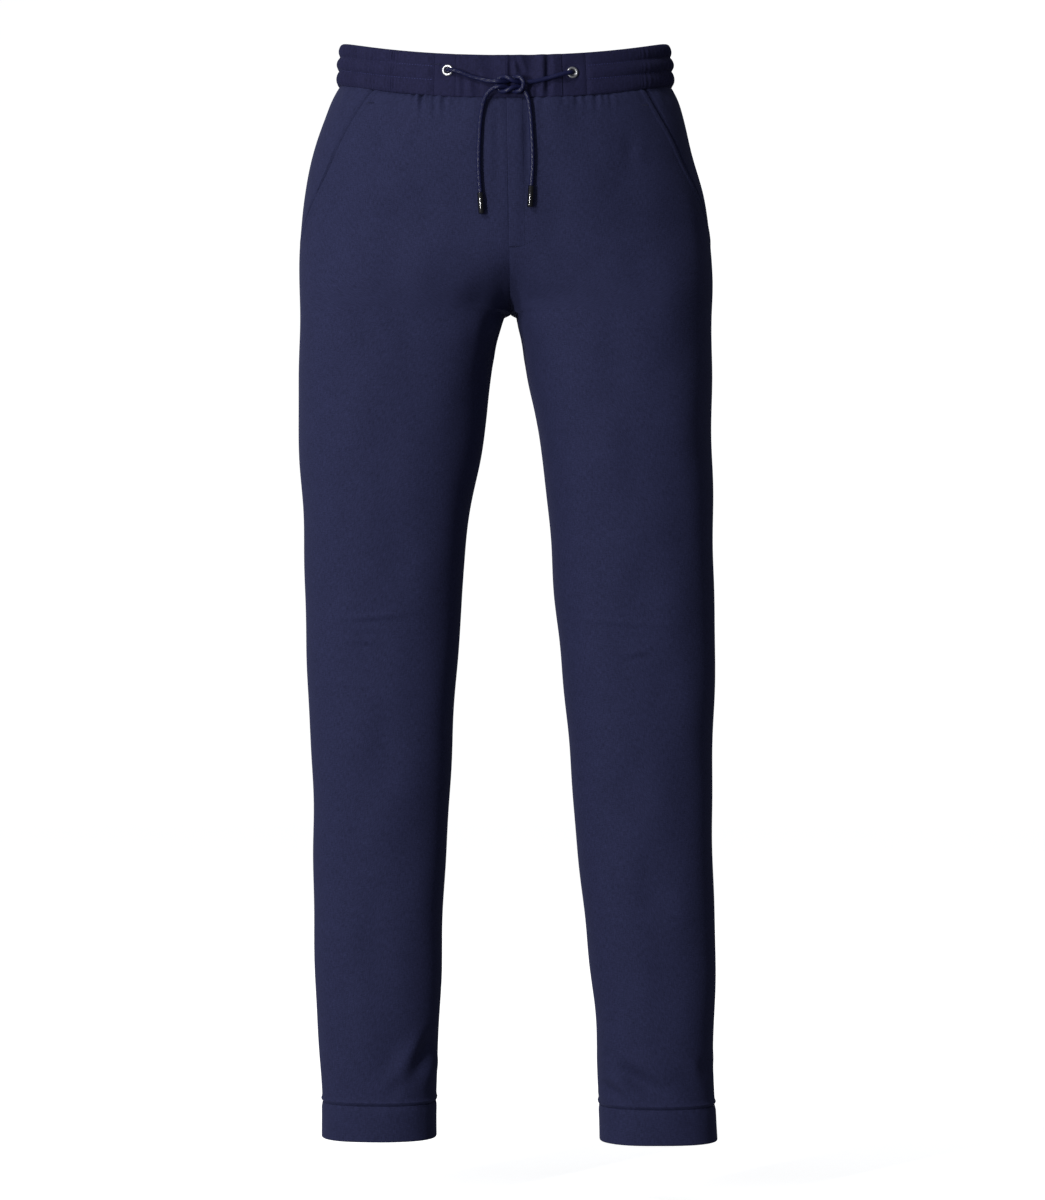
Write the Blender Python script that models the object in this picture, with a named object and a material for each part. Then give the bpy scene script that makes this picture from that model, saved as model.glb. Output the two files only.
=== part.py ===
"""Slim drawstring slacks, filled out to their worn shape, open at the waist and the hems.

Sides are the wearer's own: right is -X, left is +X, and the front faces -Y.
The origin is the middle of the waist, half way up the waistband at the sides.
All sizes and tables are in millimetres, and MM turns them into metres.
"""
import math
from collections import namedtuple

import bmesh
import bpy
import numpy as np
from mathutils import Vector

MM = 0.001
SMOOTH_ANGLE = math.radians(40)
NAVY = (0.020, 0.022, 0.068)
BAND_NAVY = (0.018, 0.020, 0.062)
CORD_NAVY = (0.030, 0.032, 0.080)
NICKEL = (0.62, 0.62, 0.63)
TIP_BLACK = (0.012, 0.012, 0.020)

# ---- driving sizes -------------------------------------------------------------------
SEAM_GAP = 0.3
PANEL_CLOTH = 1.5
BAND_CLOTH = 3.0
HEM_CLOTH = 2.4
BAND_SQUARE = 2.2         # superellipse power of the waistband's section
BAND_TOP = 20.0           # at the sides
BAND_BOTTOM = -20.5       # at the sides
FRONT_DIP = 22.8          # how far the waist dips at the centre front
FRONT_DIP_POWER = 1.7
BACK_LIFT = 4.0           # how far it rises at the centre back
DIP_ENDS = -150.0         # below this height the rows lie level
CENTRE_AT_WAIST = 1.0     # x of the centre seam
CENTRE_AT_FORK = 4.3
FORK = -239.0             # height where the legs part
FORK_BLEND = 84.0         # height above the fork over which one body becomes two legs
SPREAD_HEIGHT = 60.0      # height below it over which the whole leg follows its inseam
INSIDE_POWER = 6          # how narrowly the inseam's own curve keeps to the inside of the thigh
HEM_HEIGHT = 34.0
HEM_PROUD = 0.5
HEM_BOTTOM = {"right": -1029.5, "left": -1033.0}

SIDE_SIGN = {"right": -1, "left": 1}
FACE_SIGN = {"front": -1, "back": 1}

# ---- sections, a row for each height -------------------------------------------------
# square is the power of the section's superellipse: 2 is an ellipse, and more is boxier.
Outline = namedtuple("Outline", "height right_outer left_outer front back square")
OUTLINE = [
    Outline(-20.5, -160.5, 159.5, 110, 122, 2.2),
    Outline(-33, -167.5, 165, 111, 126, 2.25),
    Outline(-52, -175, 171, 112, 130, 2.3),
    Outline(-90, -187, 181, 112, 135, 2.4),
    Outline(-130, -194.5, 190.7, 110, 136, 2.5),
    Outline(-168, -197.4, 196.5, 106.5, 132, 2.5),
    Outline(-206, -198.4, 198.4, 102, 124, 2.6),
    Outline(-245, -198.6, 197.6, 98, 115, 2.6),
    Outline(-302, -199.3, 198.4, 93, 104, 2.55),
    Outline(-379, -198.4, 198.4, 86, 93, 2.5),
    Outline(-456, -194.5, 199.3, 78, 83, 2.5),
    Outline(-534, -192.6, 201.3, 72, 74, 2.5),
    Outline(-610, -189.7, 200.3, 69, 71, 2.5),
    Outline(-688, -186.8, 198.6, 65, 69, 2.5),
    Outline(-765, -184.9, 199.3, 61, 67, 2.45),
    Outline(-842, -184.5, 201.0, 58, 64, 2.45),
    Outline(-919, -182, 201.3, 56, 61, 2.45),
    Outline(-991, -177.2, 200.3, 54, 57, 2.45),
    Outline(-1035, -175.9, 203.2, 54, 57, 2.45),
]

Inseam = namedtuple("Inseam", "height right left")
INSEAM = [
    Inseam(-239, -0.7, 9.3),
    Inseam(-245, -2.9, 10.6),
    Inseam(-262, -7.7, 14.4),
    Inseam(-302, -14.4, 20.2),
    Inseam(-341, -20.2, 28.9),
    Inseam(-379, -25.0, 34.7),
    Inseam(-456, -38.5, 43.3),
    Inseam(-534, -43.8, 49.1),
    Inseam(-610, -49.1, 56.8),
    Inseam(-688, -53.9, 63.6),
    Inseam(-765, -57.8, 70.3),
    Inseam(-842, -61.6, 78.0),
    Inseam(-919, -64.5, 85.7),
    Inseam(-991, -66.4, 89.6),
    Inseam(-1035, -67.4, 90.7),
]

Band = namedtuple("Band", "height right_outer left_outer front back")
BAND = [
    Band(-20.5, -160.5, 159.5, 110, 122),
    Band(0.0, -159.3, 158.0, 108.5, 120.5),
    Band(20.0, -157.5, 155.5, 106.5, 118.5),
]

# How far round the front, from 0 at the centre seam to 1 at the side seam, the pocket mouth lies.
Mouth = namedtuple("Mouth", "height right left")
MOUTH = [
    Mouth(-20, 0.55, 0.595),
    Mouth(-35, 0.57, 0.61),
    Mouth(-75, 0.625, 0.685),
    Mouth(-115, 0.684, 0.757),
    Mouth(-145, 0.79, 0.86),
    Mouth(-165, 0.895, 0.955),
    Mouth(-178, 1.0, 1.0),
]
MOUTH_TUCK = 0.06         # how far the side piece runs on under the front
MOUTH_SLACK = 0.6         # how much deeper than the front's own wall it lies there
MOUTH_RISE = 0.12         # over this much it comes up level with the front
SIDE_PIECE_END = -186.0

# ---- rows of the panels --------------------------------------------------------------
BODY_ROWS = [-20.5, -36, -56, -82, -108, -134, -156, -172]
FORK_ROWS = [-184, -198, -210, -220, -228, -234, -237.5]
LEG_ROWS = [-239, -244, -252, -266, -286, -312, -345, -385, -430, -480, -524, -548,
            -572, -600, -650, -700, -750, -800, -850, -900, -940, -962, -980]
FRONT_COLUMNS = 12
BACK_COLUMNS = 10
HEM_COLUMNS = 14          # on each face of a leg
HEM_ROWS = 3
SIDE_PIECE_COLUMNS = [0.0, 0.25, 0.5, 0.75, 1.0]

# ---- folds: a soft ridge (height above 0) or trough, between two points seen from its face ------
Fold = namedtuple("Fold", "side face x1 z1 x2 z2 width height")
FOLDS = [
    Fold("right", "front", -8, -226, -64, -262, 13, -2.2),
    Fold("right", "front", -20, -262, -34, -332, 11, -2.4),
    Fold("left", "front", 14, -226, 62, -258, 13, -2.0),
    Fold("left", "front", 26, -270, 42, -330, 11, -1.8),
    Fold("right", "front", -168, -531, -62, -525, 9, 1.2),
    Fold("right", "front", -152, -552, -96, -557, 9, 1.0),
    Fold("left", "front", 66, -533, 176, -539, 9, 1.2),
    Fold("left", "front", 84, -563, 152, -565, 9, 1.0),
    Fold("right", "front", -74, -938, -112, -974, 12, -2.6),
    Fold("left", "front", 108, -956, 156, -988, 12, -2.4),
    Fold("right", "back", -10, -226, -78, -268, 15, -3.0),
    Fold("left", "back", 14, -226, 82, -268, 15, -3.0),
    Fold("right", "back", -16, -262, -60, -318, 14, -2.6),
    Fold("left", "back", 22, -262, 66, -318, 14, -2.6),
    Fold("right", "back", -160, -560, -80, -574, 12, -1.5),
    Fold("left", "back", 80, -574, 166, -560, 12, -1.5),
    Fold("right", "back", -160, -960, -110, -984, 12, -2.0),
    Fold("left", "back", 120, -984, 176, -960, 12, -2.0),
]
FOLD_SEAM_FADE = 0.12     # share of a panel's width over which its folds die out at a seam

# ---- waistband pieces, by the x of their seams at the front ----------------------------
RIGHT_ELASTIC_SEAM = -67.0
RIGHT_EYELET_SEAM = -46.9
FRONT_OVERLAP = 0.9
LEFT_EYELET_SEAM = 53.2
LEFT_ELASTIC_SEAM = 76.0
BAND_ROWS = 7
BAND_FRONT_POINTS = 7
EYELET_PIECE_POINTS = 5
GATHERS_A_SIDE = 22
GATHER_DEPTH = 0.9
COLUMNS_A_GATHER = 4
ELASTIC_PUFF = [0.0, 1.3, 0.3, 2.4, 0.5, 1.7, 0.4]   # top to bottom: three bands, two stitch rows
GATHER_SHARE = [1.0, 1.0, 0.25, 0.7, 0.25, 1.0, 0.8]
OVERLAP_PROUD = 0.8

# ---- fly -----------------------------------------------------------------------------
FLY_WIDTH = 15.0
FLY_THICK = 1.0
FLY_END = -176.0
FLY_ROWS = 14
FLY_COLUMNS = 3

# ---- eyelets -------------------------------------------------------------------------
EYELET = {"right": (-54.4, -17.1), "left": (62.8, -19.0)}
EYELET_HOLE = 2.8
EYELET_BARREL = 3.2
EYELET_DEPTH = 3.6
CLOTH_HOLE = 3.5
HOLE_GUIDE_LENGTH = 20.0
EYELET_SIDES = 16
# The rolled rim's section: radius, and height above the cloth.
EYELET_ROLL = [(5.5, 0.45), (5.1, 1.1), (4.2, 1.5), (3.3, 1.25), (2.8, 0.6)]
EYELET_LIP = 5.2          # radius of the rim's flat underside

# ---- drawstring ----------------------------------------------------------------------
CORD_RADIUS = 2.1
CORD_STEP = 9.0           # spacing of the tube's points where it hangs
KNOT_STEP = 3.3           # and in the knot and at the eyelet
READ_STEP = 0.1           # spacing at which the smooth curve is first read
TIP_SIDES = 12
# A tip's section: radius, and distance along it from the end of the cord.
TIP_PROFILE = [(0.0, 0.3), (2.5, 0.3), (2.9, 1.0), (2.9, 19.1), (2.3, 20.1), (0.0, 20.5)]
KNOT_HALF_WIDTH = 15.0
KNOT_CENTRE = (4.3, -31.5)
# A row is across and up from the knot's centre, then how far the cord's axis stands off the cloth.
Point = namedtuple("Point", "across up off")
ROUTE = {
    "right": [
        Point(-58.7, 14.4, -1.7), Point(-58.4, 14.4, 1.4), Point(-56.6, 14.2, 3.9), Point(-52.5, 13.6, 4.6),
        Point(-46, 11.4, 4.4), Point(-37.5, 8.0, 3.2), Point(-28.5, 5.4, 3.2), Point(-19.5, 3.0, 5.4),
        Point(-10.5, 2.35, 7.5), Point(-6.5, 2.35, 5.4), Point(-4.2, 2.7, 3.9), Point(-2, 3.5, 2.95),
        Point(0, 4.6, 2.7), Point(2, 5.7, 2.95), Point(4.2, 6.55, 3.9), Point(6.8, 6.8, 5.6),
        Point(9.8, 5.9, 7.2), Point(12, 2.6, 7.6), Point(12, -2.6, 7.6), Point(9.8, -5.9, 7.2),
        Point(6.8, -6.8, 5.6), Point(4.2, -6.55, 3.9), Point(2, -5.7, 2.95), Point(0, -4.6, 2.7),
        Point(-2, -3.5, 2.95), Point(-4.2, -2.7, 3.9), Point(-6.5, -2.35, 5.4), Point(-10.5, -2.5, 7.5),
        Point(-16, -4.2, 6.6), Point(-21.5, -9.2, 4.8), Point(-25, -17, 3.6), Point(-27, -27, 2.8),
        Point(-29, -50, 2.7), Point(-29.4, -80, 2.7), Point(-28.0, -101, 2.7),
    ],
    "left": [
        Point(58.5, 12.5, -1.7), Point(58.2, 12.4, 1.4), Point(56.4, 12.0, 3.9), Point(52.3, 11.2, 4.6),
        Point(45.5, 9.2, 4.4), Point(35, 6.2, 2.9), Point(25, 3.6, 2.7), Point(17, 2.5, 2.7),
        Point(10.5, 2.35, 2.7), Point(6.5, 2.35, 4.8), Point(4.2, 2.7, 6.3), Point(2, 3.5, 7.25),
        Point(0, 4.6, 7.5), Point(-2, 5.7, 7.25), Point(-4.2, 6.55, 6.3), Point(-6.8, 6.8, 4.6),
        Point(-9.8, 5.9, 3.0), Point(-12, 2.6, 2.7), Point(-12, -2.6, 2.7), Point(-9.8, -5.9, 3.0),
        Point(-6.8, -6.8, 4.6), Point(-4.2, -6.55, 6.3), Point(-2, -5.7, 7.25), Point(0, -4.6, 7.5),
        Point(2, -3.5, 7.25), Point(4.2, -2.7, 6.3), Point(6.5, -2.4, 4.8), Point(10.5, -3.0, 2.8),
        Point(14.5, -7.5, 3.0), Point(16.8, -14, 3.0), Point(18.4, -24, 2.8), Point(20, -45, 2.7),
        Point(21, -72, 2.7), Point(19.8, -95, 2.7),
    ],
}


# ---- curves through tables -----------------------------------------------------------
def smooth(keys, values, at):
    """A cubic curve through the rows, its slope at a row taken from the rows beside it."""
    keys = np.asarray(keys, float)
    values = np.asarray(values, float)
    if keys[0] > keys[-1]:
        keys, values = keys[::-1], values[::-1]
    slopes = np.gradient(values, keys)
    row = np.clip(np.searchsorted(keys, at) - 1, 0, len(keys) - 2)
    span = keys[row + 1] - keys[row]
    part = np.clip((at - keys[row]) / span, 0.0, 1.0)
    start = (1 + 2 * part) * (1 - part) ** 2
    end = part ** 2 * (3 - 2 * part)
    rise = part * (1 - part) ** 2 * span
    fall = part ** 2 * (part - 1) * span
    return start * values[row] + end * values[row + 1] + rise * slopes[row] + fall * slopes[row + 1]


def column(table, name, height):
    """One named column of a table, read smoothly at any height."""
    return smooth([row.height for row in table], [getattr(row, name) for row in table], height)


def ease(value):
    """0 to 1 with a soft start and end."""
    value = np.clip(value, 0.0, 1.0)
    return value * value * (3 - 2 * value)


def power(value, exponent):
    """A power that keeps the sign."""
    return np.sign(value) * np.abs(value) ** exponent


# ---- the garment's outer surface -----------------------------------------------------
def centre_x(height):
    """The x of the centre seams, which lean a little from waist to fork."""
    share = np.clip((BAND_BOTTOM - height) / (BAND_BOTTOM - FORK), 0.0, 1.0)
    return CENTRE_AT_WAIST + (CENTRE_AT_FORK - CENTRE_AT_WAIST) * share


def inside_of(side, height):
    """How far the inside of a leg stands from the centre line."""
    return SIDE_SIGN[side] * (column(INSEAM, side, np.minimum(height, FORK)) - centre_x(height))


def half_section(side, height):
    """Centre line, ring centre, half width, first angle and squareness of one side's section.

    Above the fork each side is a superellipse ring cut off at the centre line. The ring's
    centre moves out from that line as the body parts, so the rise seam curves back under
    the body, and below the fork the ring is whole.
    """
    sign = SIDE_SIGN[side]
    middle = centre_x(height)
    outer = sign * (column(OUTLINE, side + "_outer", height) - middle)
    inner = inside_of(side, height) * ease((FORK - height) / SPREAD_HEIGHT)
    parted = 1 - ease((height - FORK) / FORK_BLEND)
    whole = height <= FORK
    half = np.where(whole, (outer - inner) / 2, outer / (1 + parted))
    centre = np.where(whole, (outer + inner) / 2, parted * half)
    square = column(OUTLINE, "square", height)
    first = np.where(whole, -math.pi / 2, -np.arcsin(parted ** (square / 2)))
    return middle, centre, half, first, square


def waist_shift(face, height, share):
    """How far a point is moved down at the front, or up at the back, to follow the waist."""
    fade = ease((height - DIP_ENDS) / (BAND_BOTTOM - DIP_ENDS))
    if face == "front":
        return -FRONT_DIP * share ** FRONT_DIP_POWER * fade
    return BACK_LIFT * share ** 2 * fade


def fold_relief(side, face, x, z, across):
    """Sum of the soft ridges and troughs, each a bell across a line, dying out at its ends."""
    relief = np.zeros_like(x)
    for fold in FOLDS:
        if (fold.side, fold.face) != (side, face):
            continue
        along = np.array([fold.x2 - fold.x1, fold.z2 - fold.z1])
        length = np.hypot(*along)
        along = along / length
        run = (x - fold.x1) * along[0] + (z - fold.z1) * along[1]
        offset = (x - fold.x1) * along[1] - (z - fold.z1) * along[0]
        beyond = np.maximum(np.abs(run - length / 2) - length / 2 + fold.width, 0.0)
        relief += fold.height * np.exp(-(offset / fold.width) ** 2 - (beyond / fold.width) ** 2)
    return relief * ease(across / FOLD_SEAM_FADE) * ease((1 - across) / FOLD_SEAM_FADE)


def surface(side, face, across, height):
    """Points of the outer surface and their outward directions.

    across runs from 0 at the centre seam or inseam to 1 at the side seam.
    Both are grids of the same shape, with a row for each height.
    """
    sign, face_sign = SIDE_SIGN[side], FACE_SIGN[face]
    middle, centre, half, first, square = half_section(side, height)
    depth = column(OUTLINE, face, height)
    angle = first + (math.pi / 2 - first) * across
    sine, cosine = np.sin(angle), np.maximum(np.cos(angle), 0.0)
    share = cosine ** (2 / square)
    unspread = np.where(height <= FORK, 1 - ease((FORK - height) / SPREAD_HEIGHT), 0.0)
    drawn_out = inside_of(side, height) * unspread * ((1 - sine) / 2) ** INSIDE_POWER
    points = np.stack([
        middle + sign * (centre + half * power(sine, 2 / square) + drawn_out + SEAM_GAP / 2),
        face_sign * (depth * share + SEAM_GAP / 2),
        height + waist_shift(face, height, share),
    ], axis=-1)
    outward = np.stack([
        sign * power(sine, 2 - 2 / square) / half,
        face_sign * cosine ** (2 - 2 / square) / depth,
        np.zeros_like(share),
    ], axis=-1)
    down = np.gradient(points, axis=0)
    outward -= down * (np.sum(outward * down, -1) / np.sum(down * down, -1))[..., None]
    outward /= np.linalg.norm(outward, axis=-1)[..., None]
    relief = fold_relief(side, face, points[..., 0], points[..., 2], across)
    return points + outward * relief[..., None], outward


def across_at(side, offset, height):
    """The across value at a distance from the centre line, on the front above the fork."""
    _, centre, half, first, square = half_section(side, height)
    angle = np.arcsin(np.clip(power((offset - centre) / half, square / 2), -1.0, 1.0))
    return (angle - first) / (math.pi / 2 - first)


def band_surface(turn, height):
    """The waistband's plain outer surface, and its outward directions.

    turn is the angle round from the centre front, positive towards the wearer's left.
    """
    sine, cosine = np.sin(turn), np.cos(turn)
    face_share = np.abs(cosine) ** (2 / BAND_SQUARE)
    width = np.where(sine < 0, CENTRE_AT_WAIST - column(BAND, "right_outer", height),
                     column(BAND, "left_outer", height) - CENTRE_AT_WAIST)
    depth = np.where(cosine > 0, column(BAND, "front", height), column(BAND, "back", height))
    shift = np.where(cosine > 0, -FRONT_DIP * face_share ** FRONT_DIP_POWER, BACK_LIFT * face_share ** 2)
    points = np.stack([
        CENTRE_AT_WAIST + width * power(sine, 2 / BAND_SQUARE),
        -depth * power(cosine, 2 / BAND_SQUARE),
        height + shift,
    ], axis=-1)
    outward = np.stack([
        power(sine, 2 - 2 / BAND_SQUARE) / width,
        -power(cosine, 2 - 2 / BAND_SQUARE) / depth,
        np.zeros_like(width),
    ], axis=-1)
    return points, outward / np.linalg.norm(outward, axis=-1)[..., None]


def turn_at(x):
    """The turn of a point of the waistband's front, from its x."""
    outer = BAND[1].left_outer if x > CENTRE_AT_WAIST else -BAND[1].right_outer
    width = outer - math.copysign(CENTRE_AT_WAIST, x - CENTRE_AT_WAIST)
    share = (x - CENTRE_AT_WAIST) / width
    return math.asin(math.copysign(abs(share) ** (BAND_SQUARE / 2), share))


def front_y(x, z):
    """The y of the garment's front at a point seen from the front, waistband or panels."""
    side = "left" if x > centre_x(z) else "right"
    heights = np.arange(BAND_TOP, FORK, -1.0)
    on_band = heights > BAND_BOTTOM
    if x > CENTRE_AT_WAIST:
        band_outer = column(BAND, "left_outer", heights)
    else:
        band_outer = column(BAND, "right_outer", heights)
    band_share = (x - CENTRE_AT_WAIST) / (band_outer - CENTRE_AT_WAIST)
    body = np.minimum(heights, BAND_BOTTOM)
    middle, centre, half, _, square = half_section(side, body)
    body_share = (SIDE_SIGN[side] * (x - middle) - centre) / half
    share = np.abs(np.where(on_band, band_share, body_share))
    square = np.where(on_band, BAND_SQUARE, square)
    front_share = np.clip(1 - share ** square, 0.0, 1.0) ** (1 / square)
    depth = np.where(on_band, column(BAND, "front", heights), column(OUTLINE, "front", body))
    true_height = heights + waist_shift("front", np.minimum(heights, BAND_BOTTOM), front_share)
    return float(np.interp(-z, -true_height, -depth * front_share))


# ---- making objects ------------------------------------------------------------------
def material(name, colour, roughness, metallic=0.0):
    """A plain Principled material."""
    made = bpy.data.materials.new(name)
    made.use_nodes = True
    shader = made.node_tree.nodes["Principled BSDF"]
    shader.inputs["Base Color"].default_value = (*colour, 1.0)
    shader.inputs["Roughness"].default_value = roughness
    shader.inputs["Metallic"].default_value = metallic
    return made


def add_object(name, mesh, finish):
    """Put a mesh in the scene as one named sub-part."""
    made = bpy.data.objects.new(name, mesh)
    bpy.context.scene.collection.objects.link(made)
    mesh.materials.append(finish)
    mesh.shade_smooth()
    mesh.set_sharp_from_angle(angle=SMOOTH_ANGLE)
    return made


def solid(name, points, faces, finish):
    """A closed mesh from points in millimetres, its faces turned outwards."""
    mesh = bpy.data.meshes.new(name)
    mesh.from_pydata((np.asarray(points) * MM).tolist(), [], faces)
    work = bmesh.new()
    work.from_mesh(mesh)
    bmesh.ops.recalc_face_normals(work, faces=work.faces)
    work.to_mesh(mesh)
    work.free()
    return add_object(name, mesh, finish)


def wall(name, outer, inner, finish, wraps=False):
    """A cloth wall between two grids of points: both faces, and the rims that join them."""
    rows, columns = outer.shape[:2]
    count = rows * columns
    number = np.arange(count).reshape(rows, columns)
    steps = columns if wraps else columns - 1
    faces = []
    for row in range(rows - 1):
        for step in range(steps):
            following = (step + 1) % columns
            corners = (number[row, step], number[row + 1, step],
                       number[row + 1, following], number[row, following])
            faces.append([int(c) for c in corners])
            faces.append([int(c) + count for c in reversed(corners)])
    rims = [(number[0], steps), (number[-1], steps)]
    if not wraps:
        rims += [(number[:, 0], rows - 1), (number[:, -1], rows - 1)]
    for edge, edge_steps in rims:
        for step in range(edge_steps):
            a, b = int(edge[step]), int(edge[(step + 1) % len(edge)])
            faces.append([a, b, b + count, a + count])
    return solid(name, np.concatenate([outer.reshape(-1, 3), inner.reshape(-1, 3)]), faces, finish)


def even(count):
    """Values from 0 to 1 in equal steps."""
    return np.linspace(0.0, 1.0, count + 1)


def panel_rows(side, last_row=None):
    """Heights of a panel's rows, from just under the waistband to just above the hem."""
    bottom = HEM_BOTTOM[side] + HEM_HEIGHT + SEAM_GAP
    rows = np.array(BODY_ROWS + FORK_ROWS + LEG_ROWS + [bottom])
    if last_row is not None:
        rows = rows[rows > last_row]
        rows = np.append(rows, last_row)
    rows[0] -= SEAM_GAP
    return rows


def mouth_at(side, heights):
    """Where the pocket mouth crosses each row: 1 below its end, at the side seam."""
    return np.where(heights > MOUTH[-1].height, column(MOUTH, side, heights), 1.0)


# ---- sub-parts -----------------------------------------------------------------------
def build_panel(side, face, finish):
    """A front or back: fork and seams to the side seam, or to the slant mouth of the pocket."""
    heights = panel_rows(side)
    columns = even(FRONT_COLUMNS if face == "front" else BACK_COLUMNS)
    reach = mouth_at(side, heights) if face == "front" else np.ones_like(heights)
    across = reach[:, None] * columns[None, :]
    outer, outward = surface(side, face, across, np.repeat(heights[:, None], len(columns), axis=1))
    return wall(f"{face}_{side}", outer, outer - outward * PANEL_CLOTH, finish)


def build_pocket_side(side, finish):
    """The piece between the slant mouth and the side seam, tucked under the front."""
    heights = panel_rows(side, SIDE_PIECE_END)
    mouth = mouth_at(side, heights)[:, None]
    beyond = (1.0 - mouth) * np.array(SIDE_PIECE_COLUMNS)[None, :]
    across = np.concatenate([mouth - MOUTH_TUCK, mouth + beyond], axis=1)
    across[mouth[:, 0] >= 1.0] = 1.0 - MOUTH_TUCK * (1 - even(across.shape[1] - 1))
    outer, outward = surface(side, "front", across, np.repeat(heights[:, None], across.shape[1], axis=1))
    sunk = (PANEL_CLOTH + SEAM_GAP + MOUTH_SLACK) * (1 - ease((across - mouth) / MOUTH_RISE))
    outer = outer - outward * sunk[..., None]
    return wall(f"pocket_side_{side}", outer, outer - outward * PANEL_CLOTH, finish)


def build_fly(finish):
    """The folded strip on the left front beside the centre seam, laid on the panel's points."""
    heights = BAND_BOTTOM - SEAM_GAP + (FLY_END - BAND_BOTTOM + SEAM_GAP) * even(FLY_ROWS)
    across = across_at("left", FLY_WIDTH, heights)[:, None] * even(FLY_COLUMNS)[None, :]
    outer, outward = surface("left", "front", across, np.repeat(heights[:, None], across.shape[1], axis=1))
    under = outer + outward * SEAM_GAP
    return wall("fly_placket", under + outward * FLY_THICK, under, finish)


def build_hem(side, finish):
    """The turned-up band round a leg opening, a little proud of the leg."""
    bottom = HEM_BOTTOM[side]
    heights = bottom + HEM_HEIGHT * (1 - even(HEM_ROWS))
    around = []
    for face, columns in (("front", even(HEM_COLUMNS)), ("back", 1 - even(HEM_COLUMNS))):
        across = np.repeat(columns[None, :-1], len(heights), axis=0)
        around.append(surface(side, face, across, np.repeat(heights[:, None], across.shape[1], axis=1)))
    points = np.concatenate([part[0] for part in around], axis=1)
    outward = np.concatenate([part[1] for part in around], axis=1)
    points = points + outward * HEM_PROUD
    return wall(f"hem_{side}", points, points - outward * HEM_CLOTH, finish, wraps=True)


def build_band_piece(name, turns, finish, proud=0.0):
    """A plain stretch of waistband between two turns."""
    heights = np.linspace(BAND_TOP, BAND_BOTTOM, BAND_ROWS)
    turn, height = np.meshgrid(turns, heights)
    points, outward = band_surface(turn, height)
    outer = points + outward * proud
    return wall(name, outer, points - outward * BAND_CLOTH, finish)


def build_elastic(side, start, end, finish):
    """A gathered stretch: three soft bands between two stitch rows, rippled by the gathers."""
    columns = GATHERS_A_SIDE * COLUMNS_A_GATHER
    turns = start + (end - start) * even(columns)
    turn, height = np.meshgrid(turns, np.linspace(BAND_TOP, BAND_BOTTOM, BAND_ROWS))
    points, outward = band_surface(turn, height)
    ripple = 0.5 - 0.5 * np.cos(2 * math.pi * GATHERS_A_SIDE * even(columns))
    fade = ease(np.minimum(even(columns), 1 - even(columns)) * GATHERS_A_SIDE)
    relief = np.array(ELASTIC_PUFF)[:, None] * fade[None, :]
    relief = relief + GATHER_DEPTH * np.array(GATHER_SHARE)[:, None] * (ripple * fade)[None, :]
    outer = points + outward * relief[..., None]
    return wall(f"waistband_elastic_{side}", outer, points - outward * BAND_CLOTH, finish)


def turned(name, profile, sides, finish):
    """A closed profile of (radius, along) points turned about its axis, or a capped one."""
    count = len(profile)
    angles = np.arange(sides) * 2 * math.pi / sides
    radius, along = np.array(profile, float).T
    points = np.stack([
        np.outer(np.cos(angles), radius), np.outer(np.sin(angles), radius),
        np.outer(np.ones(sides), along),
    ], axis=-1).reshape(-1, 3)
    closed = radius.min() > 0
    faces = []
    for side in range(sides):
        following = (side + 1) % sides
        for step in range(count if closed else count - 1):
            after = (step + 1) % count
            faces.append([side * count + step, following * count + step,
                          following * count + after, side * count + after])
    mesh = bpy.data.meshes.new(name)
    mesh.from_pydata((points * MM).tolist(), [], faces)
    work = bmesh.new()
    work.from_mesh(mesh)
    bmesh.ops.remove_doubles(work, verts=work.verts, dist=1e-7)
    bmesh.ops.recalc_face_normals(work, faces=work.faces)
    work.to_mesh(mesh)
    work.free()
    return add_object(name, mesh, finish)


def place_along(made, origin, direction):
    """Turn an object's own Z to a direction and put it at a point in millimetres."""
    made.rotation_mode = "QUATERNION"
    made.rotation_quaternion = Vector((0, 0, 1)).rotation_difference(Vector(direction))
    made.location = Vector(origin) * MM


def eyelet_place(side):
    """The eyelet's centre on the waistband's surface, and the way it faces."""
    x, z = EYELET[side]
    turn = turn_at(x)
    level = band_surface(np.array([turn]), np.array([0.0]))[0][0, 2]
    turns = np.array([turn, turn + 0.01, turn])
    heights = z - level + np.array([0.0, 0.0, 1.0])
    centre, beside, above = band_surface(turns, heights)[0]
    outward = np.cross(beside - centre, above - centre)
    return centre, outward / np.linalg.norm(outward)


def build_eyelet(side, finish):
    """A rolled metal ring on the cloth, with its barrel through it."""
    barrel = [(EYELET_HOLE, -EYELET_DEPTH), (EYELET_BARREL, -EYELET_DEPTH), (EYELET_BARREL, SEAM_GAP),
              (EYELET_LIP, SEAM_GAP)]
    made = turned(f"eyelet_{side}", EYELET_ROLL + barrel, EYELET_SIDES, finish)
    place_along(made, *eyelet_place(side))


def cut_eyelet_hole(piece, side):
    """Cut the hole that the eyelet's barrel passes through."""
    point, outward = eyelet_place(side)
    bpy.ops.mesh.primitive_cylinder_add(vertices=EYELET_SIDES, radius=CLOTH_HOLE * MM,
                                        depth=HOLE_GUIDE_LENGTH * MM)
    cutter = bpy.context.object
    cutter.name = f"hole_guide_{side}"
    cutter.hide_render = True
    cutter.display_type = "WIRE"
    place_along(cutter, point, outward)
    cut = piece.modifiers.new("eyelet hole", "BOOLEAN")
    cut.operation = "DIFFERENCE"
    cut.solver = "EXACT"
    cut.object = cutter


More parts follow.
